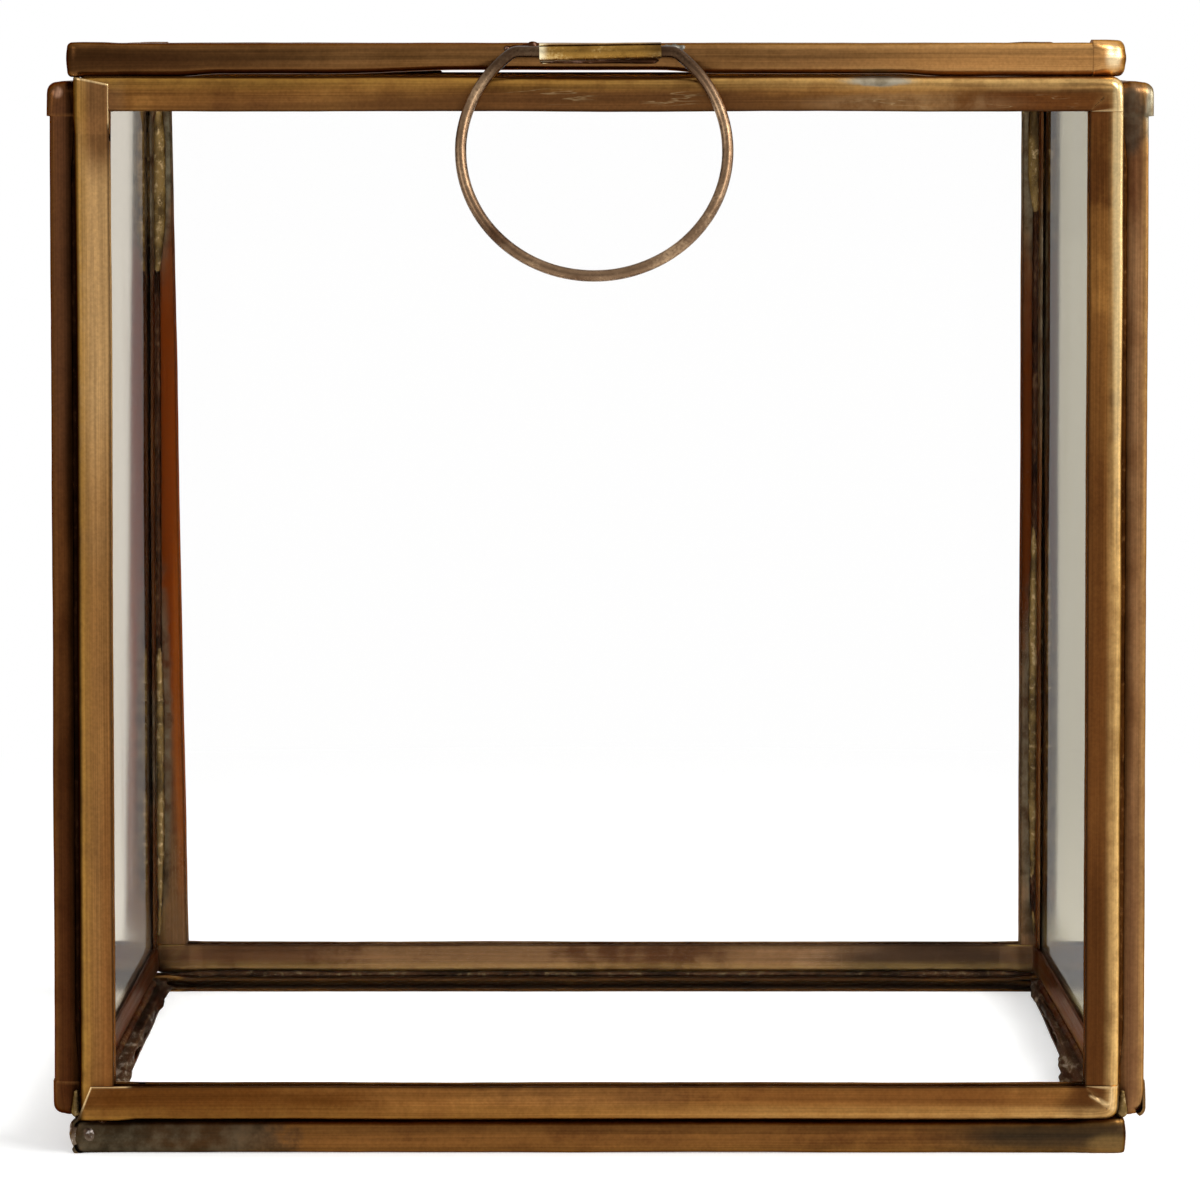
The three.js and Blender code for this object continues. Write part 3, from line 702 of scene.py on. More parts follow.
def hand_work(point, seed):
    """Long waves and small dents, in millimetres."""
    shift = Vector((seed, seed * 0.7, -seed * 1.3))
    waves = noise.noise_vector(point / WAVE + shift) * WAVE_HEIGHT
    return waves + noise.noise_vector(point / DENT - shift) * DENT_HEIGHT


def lid_bow(point, panel, raised, inside):
    """Lifts the lower front fold of the lid where the light shows, and lowers it near its ends."""
    middle = smooth((point.x + 26) / 12) * smooth((11 - point.x) / 5)
    ends = smooth((-38 - point.x) / 4) + smooth((point.x - 30) / 4) * smooth((49.15 - point.x) / 0.05)
    low = smooth(-raised / panel.half_depth)
    front = smooth((-43.6 - point.y) / 1.4)
    rise = (BOW * (0.5 if inside else 1.0) * middle - SAG * ends) * low * front
    return Vector((SHORT * smooth((-45 - point.x) / 6), 0, rise))


def lean_in(side_name, y):
    """How far a side panel has moved inwards at a place, along x."""
    share = (y - panels["left"].middle.y) / panels["left"].width + 0.5
    return (1 if side_name == "left" else -1) * LEAN[side_name] * min(max(share, 0.0), 1.0)


def stile_lean(point, panel):
    """Moves the inner edge of the back panel's left stile."""
    depth = panel.width / 2 + point.x
    share = min(max(depth / LEG, 0.0), 1.0) * smooth((LEG + 4 - depth) / 4)
    fall = (panel.middle.z + panel.height / 2 - point.z) / panel.height
    return Vector(((STILE_NARROW + (STILE_WIDE - STILE_NARROW) * fall) * share, 0, 0))


def true_place(panel, a, b, raised, seed, inside=False):
    """Where a point of the strip ends up: its true place, and what hands did to it."""
    point = panel.place(a, b, raised)
    moved = point + hand_work(point, seed)
    if panel.name == "lid":
        moved += lid_bow(point, panel, raised, inside)
    if panel.name in LEAN:
        moved.x += lean_in(panel.name, point.y)
    if panel.name == "back":
        moved += stile_lean(point, panel)
        moved.z = min(moved.z, panel.middle.z + panel.height / 2)
    if panel.name == "base":
        depth = panel.width / 2 - abs(point.x - panel.middle.x)
        narrow = NARROW_BASE * min(max(depth / LEG, 0.0), 1.0) * smooth((LEG + 4 - depth) / 4)
        moved.x += math.copysign(narrow, point.x)
        moved.z = max(moved.z - FULLER * smooth(raised / panel.half_depth), 0.0)
    return moved


def crease(point, panel):
    """1 along the two creases that the last fold left in the front's lower right corner."""
    if panel.name != "front" or point.y > panel.middle.y:
        return 0.0
    place, nearest = Vector((point.x, point.z)), 9.0
    for start, end in CREASES:
        start, way = Vector(start), Vector(end) - Vector(start)
        share = min(max((place - start).dot(way) / way.length_squared, 0.0), 1.0)
        nearest = min(nearest, (place - start - way * share).length / (0.3 + 0.7 * share))
    return smooth(1 - nearest / CREASE_WIDTH)

# %% [markdown]
# ## One mesh for each strip
# Now every ring is laid down and joined to the next. The face corners get their UV from the length
# along the strip and the length along the section, so that the rubbing lines run along the strip on
# all its faces. In a corner square they run on along the side that lies on top.

# %% Gathering a mesh
# The cut kind marks bright cut ends, and along the front's creases a painted highlight
KINDS = ("worn", "web", "lip", "cut")
WELD = 0.0005 * MM


class MeshParts:
    """Vertices, faces and their values, gathered before one mesh is made of them."""
    def __init__(self):
        self.points, self.faces, self.uvs = [], [], []
        self.values = {kind: [] for kind in KINDS}

    def add_point(self, point, *values):
        """The values are one for each kind."""
        self.points.append(point)
        for kind, value in zip(KINDS, values):
            self.values[kind].append(value)
        return len(self.points) - 1

    def add_face(self, corners, uvs):
        self.faces.append(corners)
        self.uvs.append(uvs)

    def to_object(self, name, material):
        mesh = bpy.data.meshes.new(name)
        mesh.from_pydata([point * MM for point in self.points], [], self.faces)
        layer = mesh.uv_layers.new(name="strip")
        corner_uvs = [uv for face in self.uvs for uv in face]
        for loop, (u, v) in zip(layer.data, corner_uvs):
            loop.uv = (u * MM / UV_UNIT, v * MM / UV_UNIT)
        for kind, values in self.values.items():
            mesh.attributes.new(kind, "FLOAT", "POINT").data.foreach_set("value", values)
        made = add_object(name, mesh)
        finish_mesh(made, material)
        return made


def finish_mesh(made, material, sharp=math.radians(50)):
    """Merges doubles, turns the faces outwards and shades the mesh smooth except at sharp edges."""
    work = bmesh.new()
    work.from_mesh(made.data)
    bmesh.ops.remove_doubles(work, verts=work.verts, dist=WELD)
    bmesh.ops.dissolve_degenerate(work, edges=work.edges, dist=WELD)
    bmesh.ops.recalc_face_normals(work, faces=work.faces)
    work.to_mesh(made.data)
    work.free()
    made.data.shade_smooth()
    made.data.set_sharp_from_angle(angle=sharp)
    made.data.materials.clear()
    made.data.materials.append(material)


# %% Build the strip
def section_lengths(section):
    lengths = [0.0]
    for before, after in zip(section, section[1:] + section[:1]):
        lengths.append(lengths[-1] + math.hypot(after[0] - before[0], after[1] - before[1]))
    return lengths


def border_pairs(rows, columns):
    """The places round the border of a grid, each with the one after it."""
    border = [(i, 0) for i in range(rows)] + [(rows - 1, j) for j in range(1, columns)]
    border += [(i, columns - 1) for i in range(rows - 2, -1, -1)] + [(0, j) for j in range(columns - 2, 0, -1)]
    return list(zip(border, border[1:] + border[:1]))


def flat_uv(panel, side, place, near, total):
    """UV of a leg's point, read off straight along one side of the panel."""
    e, g = TURNS_BACK[side](*place)
    half_e, half_g = panel.side(side)
    across = LEG - (half_e - e)
    return panel.side_start(side) + g + half_g - LEG, across if near else total - across


def add_strip(parts, panel, laps, heights, seed):
    outside, inside = strip_section(panel.half_depth, FOLD)
    soft_outside, soft_inside = strip_section(panel.half_depth, SOFT_FOLD)
    hard, soft = outside + inside, soft_outside + soft_inside
    across = section_lengths(hard)
    total = across[len(outside) - 1]
    rings = strip_rings(panel, laps, heights)
    grid, places = [], []
    for locate, _, lift, softness, cut_edge, _ in rings:
        row, row_places = [], []
        for j, ((d1, n1, worn, web, lip), (d2, n2, *_)) in enumerate(zip(hard, soft)):
            inset = d1 + (d2 - d1) * softness
            height = n1 + (n2 - n1) * softness
            raised = height + LAP * lift * height / panel.half_depth
            place = locate(inset)
            point = true_place(panel, *place, raised, seed, j >= len(outside))
            ridge = crease(point, panel)
            point -= Y * CREASE_HEIGHT * ridge
            # The crease ridges take the cut ends' bright tone: a painted highlight along the creases
            bright = max(cut_edge, 0.9 * ridge)
            row.append(parts.add_point(point, worn + 0.2 * max(softness, 0.0), web, lip, bright))
            row_places.append(place)
        grid.append(row)
        places.append(row_places)
    end = panel.side_start(4)
    count = len(hard)
    for i, row in enumerate(grid):
        n = (i + 1) % len(grid)
        start, stop, over = rings[i][1], rings[n][1] if n else end, rings[i][5]
        for j in range(count):
            k = (j + 1) % count
            corners = (row[j], grid[n][j], grid[n][k], row[k])
            on_leg = k < len(outside) and hard[j][3] == hard[k][3] == 0.0
            if over is not None and on_leg:
                uvs = [flat_uv(panel, over, places[r][c], hard[j][1] > 0, total)
                       for r, c in ((i, j), (n, j), (n, k), (i, k))]
            else:
                uvs = [(start, across[j]), (stop, across[j]), (stop, across[j + 1]), (start, across[j + 1])]
            parts.add_face(corners, uvs)


# %% [markdown]
# ## The slanted ends
# At two corners of each panel the strip ends in a free tongue that lies over the other leg. It was
# snipped at a slant. A tongue is a bent plate: it follows the leg and its fold, starts one sheet
# above the leg, and sinks into it over a short ramp, with the same UV as the leg so that the lines
# run on.

# %% Slanted tongues
TONGUE_ENDS = {0: (0.0, 1.2), 1: (0.0, 0.7), 2: (-0.3, 1.4), 3: (0.0, 1.2)}
TONGUE_ROWS = 14
TONGUE_SINK = 0.06
SINK_LENGTH = 1.0
EDGE_LIFT = 0.4


def add_tongue(parts, panel, corner, face, height_share, seed):
    side = (corner + 1) % 4
    half_e, half_g = panel.side(side)
    outside, inside = strip_section(panel.half_depth, FOLD)
    across = section_lengths(outside + inside)
    half = [p for p in half_section(panel.half_depth, FOLD) if p[3] < 1.0]
    near_cut, slant = TONGUE_ENDS[corner]
    reach = LEG + RAMP + 0.4
    shares = [0.0, 0.02, 0.04] + [0.04 + 0.96 * step / TONGUE_ROWS for step in range(1, TONGUE_ROWS + 1)]
    upper, lower, uvs = [], [], []
    for share in shares:
        top_row, low_row, uv_row = [], [], []
        for j, (inset, height, worn, web, lip) in enumerate(half):
            cut_end = near_cut + slant * inset / LEG
            along = cut_end + (reach - cut_end) * share
            lift = LAP * height_share * smooth((LEG + RAMP - along) / RAMP) * (1 - web * EDGE_LIFT)
            lift -= TONGUE_SINK * smooth((along - reach + SINK_LENGTH) / SINK_LENGTH)
            rounding = EDGE_ROUND if share == 0 else 0.0
            on_end = share < 0.03
            on_edge = j < 2 and lift > height_share * LAP / 3
            clean = on_end or lift > LAP / 2
            for row, offset, used in ((top_row, lift - rounding, worn), (low_row, lift - SHEET, 0.0)):
                place = TURNS[side](half_e - inset + offset * web, along - half_g)
                point = true_place(panel, *place, face * (height + offset), seed)
                row.append(parts.add_point(point, used, web, 0.0 if clean else lip, float(on_end or on_edge)))
            j_across = j if face > 0 else len(outside) - 1 - j
            uv_row.append((panel.side_start(side) + along - LEG, across[j_across]))
        upper.append(top_row)
        lower.append(low_row)
        uvs.append(uv_row)
    rows, columns = len(shares), len(half)
    for i in range(rows - 1):
        for j in range(columns - 1):
            uv = [uvs[a][b] for a, b in ((i, j), (i + 1, j), (i + 1, j + 1), (i, j + 1))]
            parts.add_face((upper[i][j], upper[i + 1][j], upper[i + 1][j + 1], upper[i][j + 1]), uv)
            parts.add_face((lower[i][j], lower[i][j + 1], lower[i + 1][j + 1], lower[i + 1][j]), uv)
    for (i, j), (p, q) in border_pairs(rows, columns):
        parts.add_face((upper[i][j], upper[p][q], lower[p][q], lower[i][j]),
                       [uvs[i][j], uvs[p][q], uvs[p][q], uvs[i][j]])


for index, (name, panel) in enumerate(panels.items()):
    parts = MeshParts()
    seed = index * 3.7
    add_strip(parts, panel, corner_laps[name], lap_heights[name], seed)
    for corner, kind in enumerate(corner_laps[name]):
        if kind == "cut":
            for face in (1, -1):
                add_tongue(parts, panel, corner, face, lap_heights[name][corner], seed)
    strip = parts.to_object(f"{name}_strip", strip_metal[name])
    attach(strip, "lid" if name == "lid" else "box", "brass_strip", f"{name}_channel")
    print(strip.name, len(strip.data.polygons), "faces")

# %% [markdown]
# ## The panes
# Each pane is a slab of 2 mm glass. A cut pane has its sharp edges taken off with a stone, which
# leaves a narrow slope all round that catches the light as a thin line. The slab is built from
# the node's box and bevelled.

# %% Panes of glass
ARRIS = 0.15


def pane(name, body):
    low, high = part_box(f"{name}_glass")
    work = bmesh.new()
    bmesh.ops.create_cube(work, size=1.0)
    bmesh.ops.scale(work, vec=high - low, verts=work.verts)
    bmesh.ops.translate(work, vec=(low + high) / 2, verts=work.verts)
    bmesh.ops.bevel(work, geom=work.edges[:], offset=ARRIS * MM, segments=1, affect="EDGES")
    for vertex in work.verts if name in LEAN else ():
        vertex.co.x += lean_in(name, vertex.co.y / MM) * MM
    mesh = bpy.data.meshes.new(f"{name}_pane")
    work.to_mesh(mesh)
    work.free()
    mesh.materials.append(glass[name])
    attach(add_object(f"{name}_pane", mesh), body, "pane", f"{name}_glass")


for name in panels:
    pane(name, "lid" if name == "lid" else "box")

# %% [markdown]
# ## A node tree for solder
# A bead of solder follows a joint, so it is a good job for Geometry Nodes: a line is cut into short
# pieces, its radius swells and narrows by noise, and a circle is carried along it. The radius runs
# down to nothing at the ends, so the bead ends in a soft tip. A second noise then moves the surface.
# All sizes are inputs of the tree, and one seed makes each bead its own.

# %% Helpers for Geometry Nodes
def new_tree(name, inputs):
    """A node tree with named inputs, which are given as (name, socket kind, value)."""
    tree = bpy.data.node_groups.new(name, "GeometryNodeTree")
    tree.interface.new_socket("Geometry", in_out="INPUT", socket_type="NodeSocketGeometry")
    tree.interface.new_socket("Geometry", in_out="OUTPUT", socket_type="NodeSocketGeometry")
    for title, kind, value in inputs:
        made = tree.interface.new_socket(title, in_out="INPUT", socket_type=kind)
        if value is not None:
            made.default_value = value
    source = tree.nodes.new("NodeGroupInput")
    return tree, source.outputs


def close_tree(tree, geometry, material):
    """Ends a tree in plain smooth mesh with its material."""
    real = put(tree, "GeometryNodeRealizeInstances", {"Geometry": geometry})
    shaded = put(tree, "GeometryNodeSetShadeSmooth", {0: real.outputs[0]})
    dressed = put(tree, "GeometryNodeSetMaterial", {"Geometry": shaded.outputs[0], "Material": material})
    put(tree, "NodeGroupOutput", {"Geometry": dressed.outputs[0]})


def evaluated_mesh(made):
    """A plain mesh of an object with its modifiers done."""
    bpy.context.view_layer.update()
    return bpy.data.meshes.new_from_object(made.evaluated_get(bpy.context.evaluated_depsgraph_get()))


def run_tree(tree, mesh, values, name):
    """Runs the tree on a mesh and returns the result as a plain mesh."""
    source = add_object(name, mesh)
    modifier = source.modifiers.new("shape", "NODES")
    modifier.node_group = tree
    for item in tree.interface.items_tree:
        if item.in_out == "INPUT" and item.name in values:
            modifier[item.identifier] = values[item.name]
    result = evaluated_mesh(source)
    bpy.data.objects.remove(source)
    result.name = name
    return result


# %% The bead tree
def roughened(tree, geometry, scale, seed, height):
    """Moves each point by noise that swings round zero."""
    place = put(tree, "GeometryNodeInputPosition").outputs[0]
    texture = put(tree, "ShaderNodeTexNoise", {"Vector": place, "W": seed, "Scale": scale, "Detail": 2.0},
                  noise_dimensions="4D").outputs["Color"]
    centred = put(tree, "ShaderNodeVectorMath", {0: texture, 1: (0.5, 0.5, 0.5)}, operation="SUBTRACT").outputs[0]
    offset = put(tree, "ShaderNodeVectorMath", {0: centred, "Scale": height}, operation="SCALE").outputs[0]
    return put(tree, "GeometryNodeSetPosition", {"Geometry": geometry, "Offset": offset}).outputs[0]


def curve_from(tree, mesh, step=None):
    """A mesh's line as a curve, cut into short pieces where a step is given."""
    line = put(tree, "GeometryNodeMeshToCurve", {"Mesh": mesh}).outputs[0]
    if step is None:
        return line
    return put(tree, "GeometryNodeResampleCurve", {"Curve": line, "Length": step}, mode="LENGTH").outputs[0]


BEAD_STEP = 0.35 * MM
BEAD_SIDES = 14
bead_tree, taken = new_tree("solder_bead", [
    ("Radius", "NodeSocketFloat", 0.7 * MM), ("Swell", "NodeSocketFloat", 0.5), ("Lumps", "NodeSocketFloat", 0.3 * MM),
    ("Tip", "NodeSocketFloat", 0.04), ("Seed", "NodeSocketFloat", 0.0), ("Material", "NodeSocketMaterial", None)])
line = curve_from(bead_tree, taken["Geometry"], BEAD_STEP)
along = put(bead_tree, "GeometryNodeSplineParameter").outputs["Factor"]
to_end = calculate(bead_tree, "MINIMUM", along, calculate(bead_tree, "SUBTRACT", 1.0, along))
near_end = put(bead_tree, "ShaderNodeClamp", {"Value": calculate(bead_tree, "DIVIDE", to_end, taken["Tip"])})
tip = calculate(bead_tree, "SQRT", near_end.outputs[0])
waves = put(bead_tree, "ShaderNodeTexNoise", {
    "Vector": put(bead_tree, "GeometryNodeInputPosition").outputs[0], "W": taken["Seed"], "Scale": 160.0},
    noise_dimensions="4D").outputs["Fac"]
radius = times(bead_tree, taken["Radius"], plus(bead_tree, 1.0, swing(bead_tree, waves, taken["Swell"])))
circle = put(bead_tree, "GeometryNodeCurvePrimitiveCircle", {"Resolution": BEAD_SIDES, "Radius": 1.0}).outputs[0]
bead = put(bead_tree, "GeometryNodeCurveToMesh", {
    "Curve": line, "Profile Curve": circle, "Scale": times(bead_tree, radius, tip), "Fill Caps": True}).outputs[0]
bead = roughened(bead_tree, bead, 420.0, taken["Seed"], taken["Lumps"])
close_tree(bead_tree, bead, taken["Material"])


def line_mesh(points, name="line"):
    mesh = bpy.data.meshes.new(name)
    mesh.from_pydata(points, [(i, i + 1) for i in range(len(points) - 1)], [])
    return mesh


def bead_mesh(start, end, radius, seed, swell=0.5, lumps=0.3, tip=0.04):
    """One bead of solder between two places, all in millimetres."""
    return run_tree(bead_tree, line_mesh([Vector(start) * MM, Vector(end) * MM]), {
        "Radius": radius * MM, "Swell": swell, "Lumps": lumps * MM, "Tip": tip, "Seed": seed,
        "Material": grey_solder}, "bead")


def join_meshes(name, meshes, material, body, slot, *nodes):
    """Joins meshes into one finished piece on a body, in place of its nodes."""
    work = bmesh.new()
    for mesh in meshes:
        work.from_mesh(mesh)
    mesh = bpy.data.meshes.new(name)
    work.to_mesh(mesh)
    work.free()
    made = add_object(name, mesh)
    finish_mesh(made, material)
    attach(made, body, slot, *nodes)
    return made

# %% [markdown]
# ## Solder in the corners
# Each upright corner was soldered twice: a fillet inside the box, and a second one in the notch
# outside, where the side panels stand back from the front and back panels. Each fillet is a thin
# bead sunk into the corner, so that only its face shows. Inside the back corners the solder also
# gathered in longer, fuller runs near the top and the foot.

# %% Upright corner seams
def node_box(node):
    low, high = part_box(node)
    return low / MM, high / MM


INNER_BEAD, OUTER_BEAD = 0.6, 0.42
INNER_SINK, OUTER_SINK, RUN_STAND = 1.05, 0.2, 0.1
RUNS = {("back", "left"): ((84, 107.2, 1.15, 0.1), (8, 46, 0.75, 0.2)),
        ("back", "right"): ((91, 107.2, 1.05, 0.1), (8, 62, 0.75, 0.2))}
CORNERS = [(index, depth_name, depth_sign, side_name, side_sign)
           for index, (depth_name, depth_sign) in enumerate((("front", -1), ("back", 1)))
           for side_name, side_sign in (("left", -1), ("right", 1))]
for index, depth_name, depth_sign, side_name, side_sign in CORNERS:
    corner_name = f"{depth_name}_{side_name}"
    node = f"corner_seam_{corner_name}"
    low, high = node_box(node)
    seed = index * 7 + side_sign * 2
    inner_y = low.y if depth_sign > 0 else high.y
    inner_x = (low.x if side_sign > 0 else high.x) + lean_in(side_name, inner_y)
    notch_x = node_box("front_channel")[1].x * side_sign
    notch_y = node_box(f"{side_name}_channel")[0 if depth_sign < 0 else 1].y
    inner = (inner_x + side_sign * INNER_SINK, inner_y + depth_sign * INNER_SINK)
    outer = (notch_x + side_sign * OUTER_SINK, notch_y + depth_sign * OUTER_SINK)
    seam = bead_mesh((*inner, low.z), (*inner, high.z), INNER_BEAD, seed, 0.2, 0.08)
    join_meshes(f"corner_solder_{corner_name}", [seam], seam_solder, "box", "solder", node)
    run_place = (inner[0] - side_sign * RUN_STAND, inner[1] - depth_sign * RUN_STAND)
    runs = [bead_mesh((*run_place, foot), (*run_place, head), radius, seed + foot, swell, 0.1, 0.3)
            for foot, head, radius, swell in RUNS.get((depth_name, side_name), ())]
    if runs:
        join_meshes(f"run_solder_{corner_name}", runs, grey_solder, "box", "solder")
    # The notch bead's dark colour is painted shade in the notch
    notch = bead_mesh((*outer, low.z), (*outer, high.z), OUTER_BEAD, seed + 1, 0.2, 0.06)
    join_meshes(f"shaded_notch_solder_{corner_name}", [notch], shaded_notch_solder[side_name], "box", "solder")
    print(node, "beads:", len(runs) + 2)

# %% Seams along the base
BASE_BEAD, BACK_BEAD, RUN_BEAD = 0.5, 0.34, 0.5
BACK_RUNS = ((-50.6, -29.0), (27.5, 50.6))
SEAM_RISE, SEAM_SINK, RUN_FORWARD = 0.2, 0.15, 0.25
for index, name in enumerate(("front", "back", "left", "right")):
    node = f"base_seam_{name}"
    low, high = node_box(node)
    z = low.z + SEAM_RISE
    if name in ("front", "back"):
        wall = low.y + SEAM_SINK if name == "front" else high.y - SEAM_SINK
        radius = BACK_BEAD if name == "back" else BASE_BEAD
        beads = [bead_mesh((low.x, wall, z), (high.x, wall, z), radius, 20 + index, 0.5, 0.15)]
        for start, end in BACK_RUNS if name == "back" else ():
            y = wall - RUN_FORWARD
            beads.append(bead_mesh((start, y, z), (end, y, z), RUN_BEAD, 25 + end, 0.4, 0.25, 0.2))
    else:
        wall = low.x + SEAM_SINK if name == "left" else high.x - SEAM_SINK
        ends = [(wall + lean_in(name, y), y, z) for y in (low.y, high.y)]
        beads = [bead_mesh(*ends, BASE_BEAD, 20 + index, 0.3, 0.1)]
    join_meshes(f"base_solder_{name}", beads, dark_solder, "box", "solder", node)

# %% [markdown]
# ## Lumps of solder
# Where three panels meet, solder gathered in lumps. A lump is a heap of small balls melted into
# one: the tree turns points with a radius into a volume and gives the volume a skin, then roughens it.

# %% The lump tree
VOXEL = 0.16 * MM
lump_tree, taken = new_tree("solder_lump", [
    ("Lumps", "NodeSocketFloat", 0.25 * MM), ("Seed", "NodeSocketFloat", 0.0),
    ("Material", "NodeSocketMaterial", None)])
size = put(lump_tree, "GeometryNodeInputNamedAttribute", {"Name": "size"}, data_type="FLOAT").outputs["Attribute"]
balls = put(lump_tree, "GeometryNodeMeshToPoints", {"Mesh": taken["Geometry"]}).outputs[0]
heap = put(lump_tree, "GeometryNodePointsToVolume", {
    "Points": balls, "Radius": size, "Voxel Size": VOXEL}, resolution_mode="VOXEL_SIZE").outputs[0]
skin = put(lump_tree, "GeometryNodeVolumeToMesh", {"Volume": heap, "Threshold": 0.1}).outputs[0]
skin = roughened(lump_tree, skin, 700.0, taken["Seed"], taken["Lumps"])
close_tree(lump_tree, skin, taken["Material"])


def lump_mesh(balls, seed, lumps=0.12, melted=8):
    """Balls of solder, each given as (x, y, z, radius) in millimetres, melted into one lump."""
    mesh = bpy.data.meshes.new("balls")
    mesh.from_pydata([Vector(ball[:3]) * MM for ball in balls], [], [])
    attribute = mesh.attributes.new("size", "FLOAT", "POINT")
    attribute.data.foreach_set("value", [ball[3] * MM for ball in balls])
    lump = run_tree(lump_tree, mesh, {"Lumps": lumps * MM, "Seed": seed, "Material": grey_solder}, "lump")
    work = bmesh.new()
    work.from_mesh(lump)
    for _ in range(melted):
        bmesh.ops.smooth_vert(work, verts=work.verts, factor=0.5, use_axis_x=True, use_axis_y=True, use_axis_z=True)
    work.to_mesh(lump)
    work.free()
    return lump


# %% Lumps at the feet
for index, depth_name, depth_sign, side_name, side_sign in CORNERS:
    node = f"foot_solder_{depth_name}_{side_name}"
    low, high = node_box(node)
    x, y = (low.x + high.x) / 2 - side_sign * 0.35, (low.y + high.y) / 2 + depth_sign * 0.25
    balls = [(x, y, low.z + 0.45 + 0.5 * step, 0.58 - 0.06 * step) for step in range(5)]
    made = join_meshes(f"foot_lump_{depth_name}_{side_name}", [lump_mesh(balls, index + side_sign)],
                       grey_solder, "box", "solder", node)
    print(made.name, len(made.data.polygons), "faces")

# %% The solder over the left end of the base
END_BALLS = ((-52.0, -47.5, 1.2, 1.15), (-52.1, -47.4, 2.4, 1.2), (-50.8, -47.65, 1.2, 1.15),
             (-50.9, -47.6, 2.5, 1.15), (-52.2, -47.4, 1.8, 1.2), (-51.3, -47.65, 1.9, 1.33),
             (-49.9, -47.9, 2.9, 0.72), (-51.0, -46.2, 1.9, 1.6), (-49.6, -47.9, 0.75, 0.75))
base_end = join_meshes("base_end_solder", [lump_mesh(END_BALLS, 12.0, 0.4, 6)], end_solder, "box", "solder")
print("base end:", [round(v / MM, 2) for v in base_end.dimensions])

# %% [markdown]
# ## Solder that ran out
# Inside the box the solder ran out of the side seams over the base's strip, down to the glass. It
# left a thin coat with a ragged edge. The coat is a grid of points: noise sets how far it reached,
# its height falls away towards that edge, and it steps down from the strip to the glass.

# %% Run-out solder on the base
FLOW_ROWS, FLOW_COLUMNS = 150, 14
FLOW_HEIGHT = 0.24
# How far the solder reached at the back and at the front, from where it widened, and how ragged it is
FLOW_REACH = {"left": (1.9, 3.0, 0, 0.65), "right": (1.2, 3.4, 14, 0.6)}


def solid_from_grids(name, upper, lower):
    """A closed mesh from two grids of points in millimetres, one over the other."""
    rows, columns = len(upper), len(upper[0])
    count = rows * columns
    faces = []
    for i in range(rows - 1):
        for j in range(columns - 1):
            a, b = i * columns + j, (i + 1) * columns + j
            faces += [(a, b, b + 1, a + 1), (a + count, a + 1 + count, b + 1 + count, b + count)]
    for (i, j), (p, q) in border_pairs(rows, columns):
        a, b = i * columns + j, p * columns + q
        faces.append((a, b, b + count, a + count))
    mesh = bpy.data.meshes.new(name)
    mesh.from_pydata([point * MM for grid in (upper, lower) for row in grid for point in row], [], faces)
    return mesh


def flow_mesh(side_name, seed):
    inwards = 1 if side_name == "left" else -1
    wall_x = node_box(f"{side_name}_channel")[1 if side_name == "left" else 0].x
    low, high = node_box("base_seam_left")
    strip_top, glass_top = node_box("base_channel")[1].z - LAP, node_box("base_glass")[1].z
    strip_edge = panels["base"].middle.x - inwards * (panels["base"].width / 2 - LEG + NARROW_BASE)
    back_reach, front_reach, widens_at, roughness = FLOW_REACH[side_name]
    upper, lower = [], []
    for row in range(FLOW_ROWS + 1):
        y = low.y + (high.y - low.y) * row / FLOW_ROWS
        reach = back_reach + (front_reach - back_reach) * smooth((widens_at - y) / 40)
        reach += roughness * noise.noise(Vector((y / 9, seed, 0))) + noise.noise(Vector((y / 3, seed, 4))) * 0.16
        start = wall_x + lean_in(side_name, y) - inwards * 0.3
        upper_row, lower_row = [], []
        for column in range(FLOW_COLUMNS + 1):
            share = column / FLOW_COLUMNS
            x = start + inwards * reach * share
            past = smooth((inwards * (x - strip_edge) + 0.15) / 0.4)
            ground = strip_top + (glass_top - strip_top) * past
            waves = noise.noise(Vector((x / 0.8, y / 5, seed))) * 0.09
            waves += noise.noise(Vector((x / 2, y / 2, -seed))) * 0.06
            thick = (FLOW_HEIGHT + waves) * math.sqrt(1 - share ** 3)
            upper_row.append(Vector((x, y, ground + thick - 0.02)))
            lower_row.append(Vector((x, y, ground - 0.04)))
        upper.append(upper_row)
        lower.append(lower_row)
    return solid_from_grids("flow", upper, lower)


for side_name, seed in (("left", 4.3), ("right", 6.9)):
    flow = join_meshes(f"flow_solder_{side_name}", [flow_mesh(side_name, seed)], flow_solder, "box", "solder")
    print(flow.name, len(flow.data.polygons), "faces")

# %% [markdown]
# ## Wire
# The ring is one length of wire: straight through the sleeve, bent down at each end, and round. Its
# route is worked out from two circles that touch: a small one for the bend and a large one for the
# loop. A tree carries a round section along the route. The route hangs from the sleeve's axis and leans
# a little forward, as the frame's ring does.

# %% The wire tree
WIRE_SIDES = 20
wire_tree, taken = new_tree("wire", [
    ("Radius", "NodeSocketFloat", 0.5 * MM), ("Unevenness", "NodeSocketFloat", 0.02 * MM),
    ("Seed", "NodeSocketFloat", 0.0), ("Material", "NodeSocketMaterial", None)])
circle = put(wire_tree, "GeometryNodeCurvePrimitiveCircle", {
    "Resolution": WIRE_SIDES, "Radius": taken["Radius"]}).outputs[0]
drawn = put(wire_tree, "GeometryNodeCurveToMesh", {
    "Curve": curve_from(wire_tree, taken["Geometry"]), "Profile Curve": circle, "Fill Caps": True}).outputs[0]
drawn = roughened(wire_tree, drawn, 300.0, taken["Seed"], taken["Unevenness"])
close_tree(wire_tree, drawn, taken["Material"])

# %% The ring
joints = {joint["name"]: joint for joint in frame["joints"]}
RING_AXIS = Vector(joints["ring_swing"]["pos_m"]) / MM
WIRE_RADIUS = 0.57
RING_RADIUS = 13.2
RING_DROP = 10.5
BEND_RADIUS = 1.5
RING_LEAN = math.radians(22)
WIRE_GAP = 0.15
ARC_STEP = math.radians(2.5)


